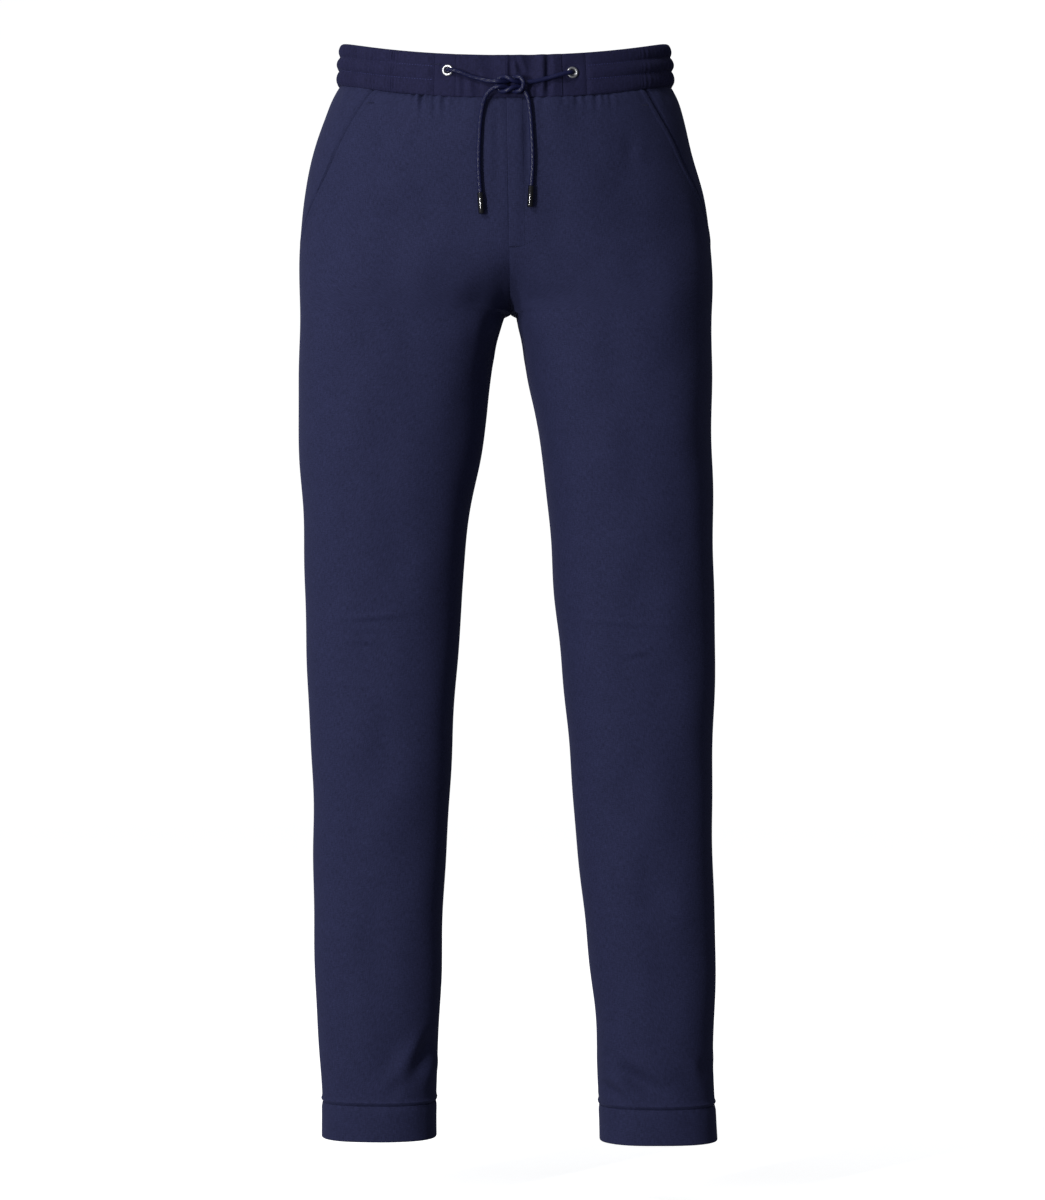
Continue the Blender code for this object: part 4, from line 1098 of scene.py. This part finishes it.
def make_fly(cloth):
    """The folded strip beside the centre seam, laid on the left front, its low corner rounded."""
    top = BAND_BOTTOM - SEAM_GAP
    edges = np.array(EDGE_ROWS)
    middle = np.arange(top - edges[-1] - FLY_STEP, FLY_END + edges[-1], -FLY_STEP)
    heights = np.concatenate([top - edges, middle, (FLY_END + edges)[::-1]])
    corner = np.clip((FLY_END + FLY_CORNER - heights) / FLY_CORNER, 0.0, 1.0)
    width = FLY_WIDTH - FLY_CORNER * (1 - np.sqrt(1 - corner ** 2))
    across = across_at("left", width, heights)[:, None] * spread(FLY_COLUMNS)[None, :]
    points, outward = panel_form("left", "front", across, heights, cloth.crease)
    along, down = arc(points, 1), arc(points, 0)
    to_edge = np.minimum(np.minimum(along, along[:, -1:] - along), down[-1:] - down)
    under = points + outward * SEWN_GAP
    thick = FLY_THIN + (FLY_THICK - FLY_THIN) * ease((along[:, -1:] - along) / FLY_TAPER)
    over = under + outward * (thick - edge_roll(to_edge, EDGE_RADIUS) * thick)[..., None]
    made = wall("fly_strip", over, under, outward, finish("brushed jersey, navy"), ["fly_placket"])


def make_hem(cloth, side):
    """The turned-up band round a leg opening: the leg's surface, a little proud and puckered."""
    heights = HEM_BOTTOM[side] + HEM_HEIGHT * (1 - spread(HEM_ROWS))
    around = []
    for face, columns in (("front", spread(FRONT_COLUMNS)), ("back", 1 - spread(BACK_COLUMNS))):
        across = np.repeat(columns[None, :-1], len(heights), axis=0)
        around.append(panel_form(side, face, across, heights, cloth.crease))
    points = np.concatenate([part[0] for part in around], axis=1)
    outward = np.concatenate([part[1] for part in around], axis=1)
    along, down = arc(points, 1), arc(points, 0)
    to_end = down[-1:] - down
    pucker = HEM_PUCKER * waves(along, HEM_PUCKER_WAVES) * np.exp(-down / HEM_PUCKER_REACH)
    fold = edge_roll(to_end, HEM_EDGE)
    proud = HEM_PROUD + pucker * ease(down / HEM_PUCKER_START) - seam_dip(down) * HEM_DIP
    middle = points + outward * proud[..., None]
    outer = middle - outward * (edge_roll(down, EDGE_RADIUS) + fold)[..., None]
    inner = middle - outward * (HEM_CLOTH - fold)[..., None]
    made = wall(f"hem_band_{side}", outer, inner, outward, finish("brushed jersey, navy"),
                [f"hem_{side}"], wraps=True)


# ---- waistband -----------------------------------------------------------------------------------
def band_heights():
    """Heights of the waistband's rows, closer at its two edges."""
    return BAND_BOTTOM + (BAND_TOP - BAND_BOTTOM) * (1 - spread(BAND_ROWS))


def band_relief(x, height):
    """Sum of the plain front's creases: the fold's shape across, eased at both ends."""
    relief = np.zeros_like(x)
    for crease in BAND_CREASES:
        run, beside = fold_line(x, height, crease.x1, crease.h1, crease.x2, crease.h2, 0.0, crease.width)
        strength = ease(run / BAND_CREASE_RISE) * ease((1 - run) / BAND_CREASE_RISE)
        relief += crease.height * strength * fold_shape(beside)
    return relief


def band_wall(name, turn, height, relief, ends, nodes, folded=np.inf, wraps=False):
    """A stretch of waistband: its relief, a folded round top, and edges that dip at the seams.

    ends is the distance to the seams, and folded the distance to an edge that is turned under.
    """
    points, outward = band_surface(turn, height)
    from_top, from_seam = BAND_TOP - height, height - BAND_BOTTOM
    fold = edge_roll(from_top, BAND_EDGE)
    dip = sum(BAND_SEAM_DIP * np.exp(-(far / BAND_SEAM_REACH) ** 2) for far in (ends, from_seam))
    roll = np.maximum(edge_roll(ends, BAND_SEAM_RADIUS), edge_roll(from_seam, BAND_EDGE))
    relief = relief + BAND_EDGE_LIFT * np.exp(-folded / SEAM_REACH)
    roll = np.maximum(roll, edge_roll(np.minimum(folded, BAND_EDGE), BAND_EDGE))
    outer = points + outward * (relief - dip - roll - fold)[..., None]
    inner = points - outward * (BAND_CLOTH + dip - fold)[..., None]
    made = wall(name, outer, inner, outward, finish("brushed jersey, waistband"), nodes, wraps)


def seam_turns(side):
    """The turns at which one side's pieces of the waistband meet: lap, eyelet piece, elastic."""
    return [turn_at(x) for x in BAND_SEAMS[side]]


def seam_lap(side):
    """The turn by which two sewn edges run into each other, towards that side."""
    return SIDE_SIGN[side] * SEWN_LAP / BAND_WIDTH


def distance_to_ends(points):
    """Distance along a stretch to the nearer of its two ends."""
    along = arc(points, 1)
    return np.minimum(along, along[:, -1:] - along)


def make_band_front(cloth, side):
    """The plain stretch beside the centre front, with its soft upright folds."""
    lap, eyelet, _ = seam_turns(side)
    start = lap + (FRONT_LAP / BAND_WIDTH if side == "right" else 0.0)
    turns = start + (eyelet + seam_lap(side) - start) * spread(BAND_FRONT_COLUMNS)
    turn, height = np.meshgrid(turns, band_heights())
    points, _ = band_surface(turn, height)
    along = arc(points, 1)
    ends = along[:, -1:] - along
    relief = cloth.crease * band_relief(points[..., 0], height) * ease(ends / BAND_CREASE_FADE)
    lapped = {"right": np.inf, "left": along}[side]
    band_wall(f"band_front_{side}", turn, height, relief + OVERLAP_PROUD * (side == "left"), ends,
              [f"waistband_front_{side}"], lapped)


def eyelet_on_band(side):
    """The eyelet's centre as a turn and a height on the waistband."""
    x, z = EYELET[side]
    turn = turn_at(x)
    level = band_surface(np.array([turn]), np.array([0.0]))[0][0, 2]
    return turn, z - level


def eyelet_place(side):
    """The eyelet's centre on the waistband's surface, and the way it faces."""
    turn, height = eyelet_on_band(side)
    turns = np.array([turn, turn + NEARBY_TURN, turn])
    heights = height + np.array([0.0, 0.0, NEARBY_HEIGHT])
    centre, beside, above = band_surface(turns, heights)[0]
    outward = np.cross(beside - centre, above - centre)
    return centre, outward / np.linalg.norm(outward)


def make_band_eyelet(side):
    """The stretch that carries the eyelet: a grid run from the round hole out to the four edges."""
    _, eyelet, elastic = seam_turns(side)
    lap = seam_lap(side)
    low, high = sorted((eyelet - lap, elastic + lap))
    hole_turn, hole_height = eyelet_on_band(side)
    steps = np.linspace(0, 1, EYELET_EDGE_STEPS + 1)[:-1]
    ones = np.ones_like(steps)
    wide, tall = high - low, BAND_TOP - BAND_BOTTOM
    edge_turn = np.concatenate([low + wide * steps, high * ones, high - wide * steps, low * ones])
    edge_height = np.concatenate([BAND_BOTTOM * ones, BAND_BOTTOM + tall * steps, BAND_TOP * ones,
                                  BAND_TOP - tall * steps])
    angle = np.arctan2(edge_height - hole_height, (edge_turn - hole_turn) * BAND_WIDTH)
    out = spread(EYELET_RINGS)[:, None]
    near_turn = hole_turn + CLOTH_HOLE * np.cos(angle) / BAND_WIDTH
    near_height = hole_height + CLOTH_HOLE * np.sin(angle)
    turn = near_turn + (edge_turn - near_turn) * out
    height = near_height + (edge_height - near_height) * out
    ends = np.minimum(turn - low, high - turn) * BAND_WIDTH
    far = np.hypot((turn - hole_turn) * BAND_WIDTH, height - hole_height)
    relief = -EYELET_PINCH * np.exp(-((far - EYELET_PINCH_AT) / EYELET_PINCH_WIDTH) ** 2)
    band_wall(f"band_eyelet_{side}", turn, height, relief, ends, [f"waistband_eyelet_{side}"],
              wraps=True)


def elastic_relief(band, side, share, height):
    """Three soft bands between two stitch rows, rippled by uneven gathers.

    share runs from 0 at the eyelet piece to 1 at the centre back. A gather's phase drifts and its
    depth varies by small sums of sines, so no two are alike.
    """
    rows = (BAND_TOP, *STITCH_ROWS, BAND_BOTTOM)
    puff, pinch = np.zeros_like(height), np.zeros_like(height)
    for upper, lower, rise, gather in zip(rows[:-1], rows[1:], PUFFS, PUFF_GATHER):
        part = np.clip((upper - height) / (upper - lower), 0.0, 1.0)
        arch = np.sin(math.pi * part) ** PUFF_ROUNDNESS
        puff += rise * arch
        pinch += gather * arch
    drift = sum(size * np.sin(2 * math.pi * turns * share + start) for turns, start, size in GATHER_DRIFT)
    uneven = 1 + sum(size * np.sin(2 * math.pi * turns * share * UNEVEN_RATE + start)
                     for turns, start, size in GATHER_UNEVEN)
    ripple = 0.5 - 0.5 * np.cos(2 * math.pi * (band.gathers * share + DRIFT_STRENGTH * drift))
    start, full = GATHER_START[side], GATHER_FULL[side]
    grown = start + (1 - start) * ease((share - GATHER_WAIT) / (full - GATHER_WAIT))
    at_ends = ease(share / ELASTIC_END) * ease((1 - share) / ELASTIC_END)
    gathers = (band.depth / MM) * ripple * uneven * grown * (GATHER_LEAST + (1 - GATHER_LEAST) * pinch)
    puffed = puff * (PUFF_START + (1 - PUFF_START) * ease(share / PUFF_FULL))
    return (puffed + gathers) * at_ends


def make_elastic(band, side):
    """The gathered stretch from the eyelet piece round the side to the centre back."""
    elastic = seam_turns(side)[-1]
    start, end = elastic - seam_lap(side), SIDE_SIGN[side] * math.pi + seam_lap(side)
    share, height = np.meshgrid(spread(band.gathers * COLUMNS_A_GATHER), band_heights())
    turn = start + (end - start) * share
    points, _ = band_surface(turn, height)
    ends = distance_to_ends(points)
    relief = elastic_relief(band, side, share, height)
    band_wall(f"band_elastic_{side}", turn, height, relief, ends, [f"waistband_elastic_{side}"])


# ---- metal and cords -----------------------------------------------------------------------------
def make_eyelet(side):
    """A rolled ring turned from a half ellipse over the cloth and a thin barrel through it."""
    middle, half = (EYELET_RIM + EYELET_HOLE) / 2, (EYELET_RIM - EYELET_HOLE) / 2
    roll = [(middle + half * math.cos(a), SEAM_GAP + ROLL_LIFT + (EYELET_RISE - SEAM_GAP) * math.sin(a))
            for a in np.linspace(0, math.pi, ROLL_STEPS + 1)]
    barrel = [(EYELET_HOLE, -EYELET_DEPTH), (EYELET_BARREL, -EYELET_DEPTH), (EYELET_BARREL, SEAM_GAP),
              (EYELET_RIM - ROLL_TUCK, SEAM_GAP)]
    profile = roll + barrel
    profile.append(profile[0])
    points = placed(turned_points(profile, EYELET_SIDES), *eyelet_place(side))
    faces, _ = grid_faces(len(profile), EYELET_SIDES, True)
    made = make_object(f"eyelet_ring_{side}", points.reshape(-1, 3), faces, finish("nickel plate, satin"),
                       [f"eyelet_{side}"])
    merge_and_face_out(made)


def cord_route(side, step):
    """The drawstring's axis: a smooth curve through the route's points, read at even steps."""
    rows = []
    for point in ROUTE[side]:
        x, z = KNOT_CENTRE[0] + point.across, KNOT_CENTRE[1] + point.up
        rows.append((x, front_y(x, z) - OVERLAP_PROUD - point.off, z))
    rows = np.array(rows)
    measure = arc(rows, 0)
    fine = np.arange(0.0, measure[-1], step)
    return np.stack([smooth(measure, rows[:, axis], fine) for axis in range(3)], axis=1)


def carried_frames(path):
    """Directions along and beside a path, each side direction turned least from the last."""
    along = np.gradient(path, axis=0)
    along /= np.linalg.norm(along, axis=1)[:, None]
    beside = np.empty_like(path)
    start = np.cross(along[0], (0.0, 0.0, 1.0))
    beside[0] = start / np.linalg.norm(start)
    for step in range(1, len(path)):
        kept = beside[step - 1] - along[step] * (beside[step - 1] @ along[step])
        beside[step] = kept / np.linalg.norm(kept)
    return along, beside, np.cross(along, beside)


def make_cord(cord, side):
    """A round braid carried along the route: two families of strands wound both ways."""
    path = cord_route(side, CORD_STEP)
    along, beside, above = carried_frames(path)
    angle = np.arange(CORD_SIDES) * 2 * math.pi / CORD_SIDES
    run = np.arange(len(path)) * CORD_STEP
    wound = 2 * math.pi * run[:, None] / (cord.braid / MM)
    weave = np.cos(BRAID_STRANDS * (angle + wound)) * np.cos(BRAID_STRANDS * (angle - wound))
    radius = cord.radius / MM * (1 + BRAID_RELIEF * weave)
    ring = beside[:, None] * np.cos(angle)[None, :, None] + above[:, None] * np.sin(angle)[None, :, None]
    points = path[:, None] + ring * radius[..., None]
    points = np.concatenate([np.repeat(path[:1, None], CORD_SIDES, axis=1), points,
                             np.repeat(path[-1:, None], CORD_SIDES, axis=1)])
    faces, _ = grid_faces(len(points), CORD_SIDES, True)
    run = np.concatenate([run[:1], run, run[-1:]])
    places = np.stack(np.meshgrid(angle / (2 * math.pi) / MM, run), axis=-1).reshape(-1, 2)
    made = make_object(f"cord_{side}", points.reshape(-1, 3), faces, finish("polyester braid, navy"),
                       [f"drawstring_{side}"], places)
    merge_and_face_out(made)
    tip = placed(turned_points(TIP_PROFILE, TIP_SIDES), path[-1], along[-1])
    faces, _ = grid_faces(len(TIP_PROFILE), TIP_SIDES, True)
    end = make_object(f"cord_end_{side}", tip.reshape(-1, 3), faces, finish("gloss lacquer, black"),
                      [f"tip_{side}"])
    merge_and_face_out(end)


# ---- stitches ------------------------------------------------------------------------------------
def stitches(name, centres, along, outward, kind, length=STITCH_LENGTH):
    """Many small stitches as one mesh: a closed lens for each, lying along its direction.

    A stitch's half width and height follow a half sine along it.
    """
    beside = np.cross(outward, along)
    place = np.linspace(0, 1, STITCH_RINGS)
    swell = np.sin(math.pi * place) ** STITCH_ROUNDNESS
    angle = np.arange(STITCH_SIDES) * 2 * math.pi / STITCH_SIDES
    run = (place - 0.5)[None, :, None, None] * length
    side_way = (swell[:, None] * np.cos(angle) * STITCH_WIDTH / 2)[None, ..., None]
    up_way = (swell[:, None] * np.sin(angle) * STITCH_HEIGHT)[None, ..., None]
    points = (centres[:, None, None] + along[:, None, None] * run + beside[:, None, None] * side_way
              + outward[:, None, None] * up_way)
    faces, _ = grid_faces(STITCH_RINGS, STITCH_SIDES, True)
    each = STITCH_RINGS * STITCH_SIDES
    faces = (faces[None] + (np.arange(len(centres)) * each)[:, None, None]).reshape(-1, 4)
    made = make_object(name, points.reshape(-1, 3), faces, finish(kind))
    merge_and_face_out(made)


def along_curve(points, outward, pitch):
    """Places at an even pitch on a curve, with the curve's direction and the outward one.

    The curve's direction is the chord from a little before each place to a little after it.
    """
    measure = arc(points, 0)
    at = np.arange(pitch / 2, measure[-1], pitch)

    def read(values, places):
        return np.stack([np.interp(places, measure, values[:, axis]) for axis in range(3)], axis=1)

    centre, out = read(points, at), read(outward, at)
    along = read(points, at + CHORD) - read(points, at - CHORD)
    out /= np.linalg.norm(out, axis=1)[:, None]
    along /= np.maximum(np.linalg.norm(along, axis=1)[:, None], 1e-6)
    return centre, along, out


def make_elastic_stitches(band, side):
    """The two rows that part the elastic into three bands."""
    elastic = seam_turns(side)[-1]
    share = np.linspace(ROW_END, 1 - ROW_END, ROW_POINTS)
    turn = elastic + (SIDE_SIGN[side] * math.pi - elastic) * share
    rows = []
    for level in STITCH_ROWS:
        height = np.full_like(share, level)
        points, outward = band_surface(turn, height)
        relief = elastic_relief(band, side, share, height)
        rows.append(along_curve(points + outward * (relief + STITCH_LIFT)[:, None], outward, STITCH_PITCH))
    centre, along, out = (np.concatenate(part) for part in zip(*rows))
    stitches(f"stitches_elastic_{side}", centre, along, out, "spun thread, blue")


def on_cloth(pieces, line, pitch):
    """Places at a pitch on a line given by x and z, where rays from straight in front meet the pieces.

    Also the direction along the line and the cloth's own direction at each place.
    """
    line = np.array(line, float)
    measure = arc(line, 0)
    at = np.arange(pitch / 2, measure[-1], pitch)
    places, facing = [], []
    for x, z in zip(np.interp(at, measure, line[:, 0]), np.interp(at, measure, line[:, 1])):
        start = Vector((x, -2 * BAND[1].front, z)) * MM
        hits = [bpy.data.objects[name].ray_cast(start, (0, 1, 0)) for name in pieces]
        nearest = min((hit for hit in hits if hit[0]), key=lambda hit: hit[1].y)
        places.append(np.array(nearest[1]) / MM)
        facing.append(nearest[2])
    places, facing = np.array(places), np.array(facing)
    along = np.gradient(places, axis=0)
    along -= facing * np.sum(along * facing, axis=1)[:, None]
    return places, along / np.linalg.norm(along, axis=1)[:, None], facing


def make_tacks():
    """The dense bars at the pocket mouths' tops and at the right end of the elastic's upper row."""
    for side in SIDES:
        names = [f"front_panel_{side}", f"pocket_piece_{side}"]
        places, along, facing = on_cloth(names, POCKET_TACK[side], BARTACK_PITCH)
        across = np.cross(facing, along)
        stitches(f"stitches_pocket_{side}", places, across, facing, "spun thread, navy",
                 length=BARTACK_WIDTH)
    places, along, facing = on_cloth(["band_elastic_right", "band_eyelet_right"], BAND_TACK, BARTACK_PITCH)
    stitches("stitches_band_tack", places, np.cross(facing, along), facing, "spun thread, navy",
             length=BAND_TACK_WIDTH)


def make_fly_stitches():
    """The curved row that holds the fly, in thread of the cloth's colour."""
    places, along, facing = on_cloth(["front_panel_left", "fly_strip"], FLY_CURVE, STITCH_PITCH)
    stitches("stitches_fly", places, along, facing, "spun thread, navy")


# ---- stage ---------------------------------------------------------------------------------------
CAMERA_X = 15.9           # the picture's middle, across
CAMERA_Z = -514.0         # and its height on the garment
VIEW_HEIGHT = 1155.6      # what the picture's height spans at the garment's middle
SENSOR = 36.0
BRIGHT_SIDE = (-0.76, -0.1, 0.12)     # where the light all round is stronger, and by how much
MIRRORED = 0.4            # share of that light that mirrored rays bring back
SKY = (0.95, 0.97, 1.0, 1.0)
FLOOR_DROP = 60.0         # the floor lies this far under the hems
FLOOR_RADIUS = 9.0        # the floor's own sizes are in metres
WALL_HEIGHT = 9.0
CORNER_RADIUS = 2.5
CORNER_STEPS = 16
FLOOR_SIDES = 96

# Places, aims and sizes in metres, and strength as a share of the main light's.
Light = namedtuple("Light", "name place aim width height share")
LIGHTS = [
    # the main light, from the upper left and the front
    Light("key", (-1.4, -2.0, 1.35), (0.0, 0.0, -0.3), 0.4, 0.4, 1.0),
    # a narrow upright one that draws the highlight on the cord's ends
    Light("strip", (-1.5, -2.3, -0.12), (0.0, 0.0, -0.1), 0.1, 0.7, 1.25),
    # a weak one behind
    Light("rim", (-0.6, 3.2, 0.6), (0.0, 0.0, -0.5), 2.0, 2.0, 0.38),
]


def make_camera(stage):
    """A level camera straight in front, as far off as the picture's perspective says."""
    data = bpy.data.cameras.new("camera")
    data.sensor_width = SENSOR
    data.lens = SENSOR * stage.distance / (VIEW_HEIGHT * MM)
    made = bpy.data.objects.new("camera", data)
    made.location = (CAMERA_X * MM, -stage.distance, CAMERA_Z * MM)
    made.rotation_euler = (math.pi / 2, 0, 0)
    bpy.context.scene.collection.objects.link(made)
    bpy.context.scene.camera = made


def make_backdrop(stage):
    """A pale round floor that curves up into a wall: a profile carried round Z."""
    bottom = FRAME_BOX[0][2] - FLOOR_DROP * MM
    bend = np.linspace(0, math.pi / 2, CORNER_STEPS + 1)
    flat = FLOOR_RADIUS - CORNER_RADIUS
    radius = np.concatenate([[0.0, flat / 2], flat + CORNER_RADIUS * np.sin(bend), [FLOOR_RADIUS]])
    height = np.concatenate([[0.0, 0.0], CORNER_RADIUS * (1 - np.cos(bend)), [WALL_HEIGHT]]) + bottom
    points = turned_points(np.stack([radius, height], axis=1), FLOOR_SIDES)
    faces, _ = grid_faces(len(radius), FLOOR_SIDES, True)
    mesh = bpy.data.meshes.new("floor")
    mesh.from_pydata(points.reshape(-1, 3).tolist(), [], faces.tolist())
    work = bmesh.new()
    work.from_mesh(mesh)
    bmesh.ops.remove_doubles(work, verts=work.verts, dist=1e-5)
    work.to_mesh(mesh)
    work.free()
    mesh.shade_smooth()
    made = bpy.data.objects.new("floor", mesh)
    bpy.context.scene.collection.objects.link(made)
    paper, _, _ = new_finish("white paper, matt", Base_Color=with_alpha(stage.floor), Roughness=1.0,
                             Emission_Color=with_alpha(stage.floor), Emission_Strength=0.75)
    mesh.materials.append(paper)
    made.visible_diffuse = False
    made.visible_glossy = False
    made.visible_shadow = False


def add_light(light, watts):
    """A soft rectangular light at its place, turned to its aim."""
    data = bpy.data.lights.new(light.name, "AREA")
    data.shape = "RECTANGLE"
    data.size = light.width
    data.size_y = light.height
    data.energy = watts
    made = bpy.data.objects.new(light.name, data)
    made.location = light.place
    towards = Vector(light.aim) - Vector(light.place)
    made.rotation_euler = towards.to_track_quat("-Z", "Y").to_euler()
    bpy.context.scene.collection.objects.link(made)


def make_lights(stage):
    """The three lights, and light from all round that is weaker towards the picture's right."""
    for light in LIGHTS:
        add_light(light, stage.key * light.share)
    world = bpy.data.worlds.new("studio")
    world.use_nodes = True
    tree = world.node_tree
    place = add_node(tree, "ShaderNodeTexCoord")
    side = add_node(tree, "ShaderNodeVectorMath", {0: place.outputs["Generated"], 1: BRIGHT_SIDE},
                    operation="DOT_PRODUCT")
    level = add_node(tree, "ShaderNodeMath", {
        0: side.outputs["Value"], 1: stage.fill, 2: stage.fill}, operation="MULTIPLY_ADD")
    rays = add_node(tree, "ShaderNodeLightPath")
    kept = add_node(tree, "ShaderNodeMath", {
        0: rays.outputs["Is Glossy Ray"], 1: MIRRORED - 1.0, 2: 1.0}, operation="MULTIPLY_ADD")
    shown = add_node(tree, "ShaderNodeMath", {
        0: level.outputs["Value"], 1: kept.outputs["Value"]}, operation="MULTIPLY")
    sky = tree.nodes["Background"]
    sky.inputs["Color"].default_value = SKY
    tree.links.new(shown.outputs["Value"], sky.inputs["Strength"])
    bpy.context.scene.world = world
    bpy.context.scene.view_settings.view_transform = "Standard"


# ---- operators -----------------------------------------------------------------------------------
class SLACKS_OT_stage(bpy.types.Operator):
    """Add the floor, the lights and the camera."""

    bl_idname = "slacks.stage"
    bl_label = "Stage"

    def execute(self, context):
        stage = context.scene.slacks_stage
        make_camera(stage)
        make_backdrop(stage)
        make_lights(stage)
        return {"FINISHED"}


class SLACKS_OT_drawstring(bpy.types.Operator):
    """Make both ends of the drawstring with their tips."""

    bl_idname = "slacks.drawstring"
    bl_label = "Drawstring"

    def execute(self, context):
        for side in SIDES:
            make_cord(context.scene.slacks_cord, side)
        return {"FINISHED"}


class SLACKS_OT_eyelets(bpy.types.Operator):
    """Make the two metal eyelets."""

    bl_idname = "slacks.eyelets"
    bl_label = "Eyelets"

    def execute(self, context):
        for side in SIDES:
            make_eyelet(side)
        return {"FINISHED"}


class SLACKS_OT_panels(bpy.types.Operator):
    """Make the four leg panels."""

    bl_idname = "slacks.panels"
    bl_label = "Leg panels"

    def execute(self, context):
        for side in SIDES:
            for face in FACES:
                make_panel(context.scene.slacks_cloth, side, face)
        return {"FINISHED"}


class SLACKS_OT_pockets(bpy.types.Operator):
    """Make the pieces behind the slant pocket mouths."""

    bl_idname = "slacks.pockets"
    bl_label = "Pocket pieces"

    def execute(self, context):
        for side in SIDES:
            make_pocket_side(context.scene.slacks_cloth, side)
        return {"FINISHED"}


class SLACKS_OT_fly(bpy.types.Operator):
    """Make the folded strip beside the centre seam."""

    bl_idname = "slacks.fly"
    bl_label = "Fly strip"

    def execute(self, context):
        make_fly(context.scene.slacks_cloth)
        return {"FINISHED"}


class SLACKS_OT_hems(bpy.types.Operator):
    """Make the turned-up hems."""

    bl_idname = "slacks.hems"
    bl_label = "Hems"

    def execute(self, context):
        for side in SIDES:
            make_hem(context.scene.slacks_cloth, side)
        return {"FINISHED"}


class SLACKS_OT_waistband(bpy.types.Operator):
    """Make the plain, eyelet and elastic stretches of the waistband."""

    bl_idname = "slacks.waistband"
    bl_label = "Waistband"

    def execute(self, context):
        for side in SIDES:
            make_band_front(context.scene.slacks_cloth, side)
            make_band_eyelet(side)
            make_elastic(context.scene.slacks_waistband, side)
        return {"FINISHED"}


class SLACKS_OT_stitches(bpy.types.Operator):
    """Sew the rows that show."""

    bl_idname = "slacks.stitches"
    bl_label = "Stitches"

    def execute(self, context):
        for side in SIDES:
            make_elastic_stitches(context.scene.slacks_waistband, side)
        context.view_layer.update()
        make_tacks()
        make_fly_stitches()
        return {"FINISHED"}


STEPS = (SLACKS_OT_stage, SLACKS_OT_drawstring, SLACKS_OT_eyelets, SLACKS_OT_panels, SLACKS_OT_pockets,
         SLACKS_OT_fly, SLACKS_OT_hems, SLACKS_OT_waistband, SLACKS_OT_stitches)
SETTINGS = {"slacks_cloth": SlacksCloth, "slacks_waistband": SlacksWaistband, "slacks_cord": SlacksCord,
            "slacks_stage": SlacksStage}


class SLACKS_PT_panel(bpy.types.Panel):
    """The slacks' settings and the steps that make them."""

    bl_idname = "SLACKS_PT_panel"
    bl_label = "Drawstring slacks"
    bl_space_type = "VIEW_3D"
    bl_region_type = "UI"
    bl_category = "Slacks"

    def draw(self, context):
        layout = self.layout
        for name, group in SETTINGS.items():
            box = layout.box()
            box.label(text=group.__doc__)
            for setting in group.__annotations__:
                box.prop(getattr(context.scene, name), setting)
        for step in STEPS:
            layout.operator(step.bl_idname)


CLASSES = (*SETTINGS.values(), *STEPS, SLACKS_PT_panel)


def register():
    """Register the classes and hang the settings on the scene."""
    for item in CLASSES:
        bpy.utils.register_class(item)
    for name, group in SETTINGS.items():
        setattr(bpy.types.Scene, name, PointerProperty(type=group))


def unregister():
    """Take the settings and the classes away."""
    for name in SETTINGS:
        delattr(bpy.types.Scene, name)
    for item in reversed(CLASSES):
        bpy.utils.unregister_class(item)


def main():
    """Register, and make every piece in order."""
    register()
    bpy.ops.slacks.stage()
    bpy.ops.slacks.drawstring()
    bpy.ops.slacks.eyelets()
    bpy.ops.slacks.panels()
    bpy.ops.slacks.pockets()
    bpy.ops.slacks.fly()
    bpy.ops.slacks.hems()
    bpy.ops.slacks.waistband()
    bpy.ops.slacks.stitches()


if __name__ == "__main__":
    main()
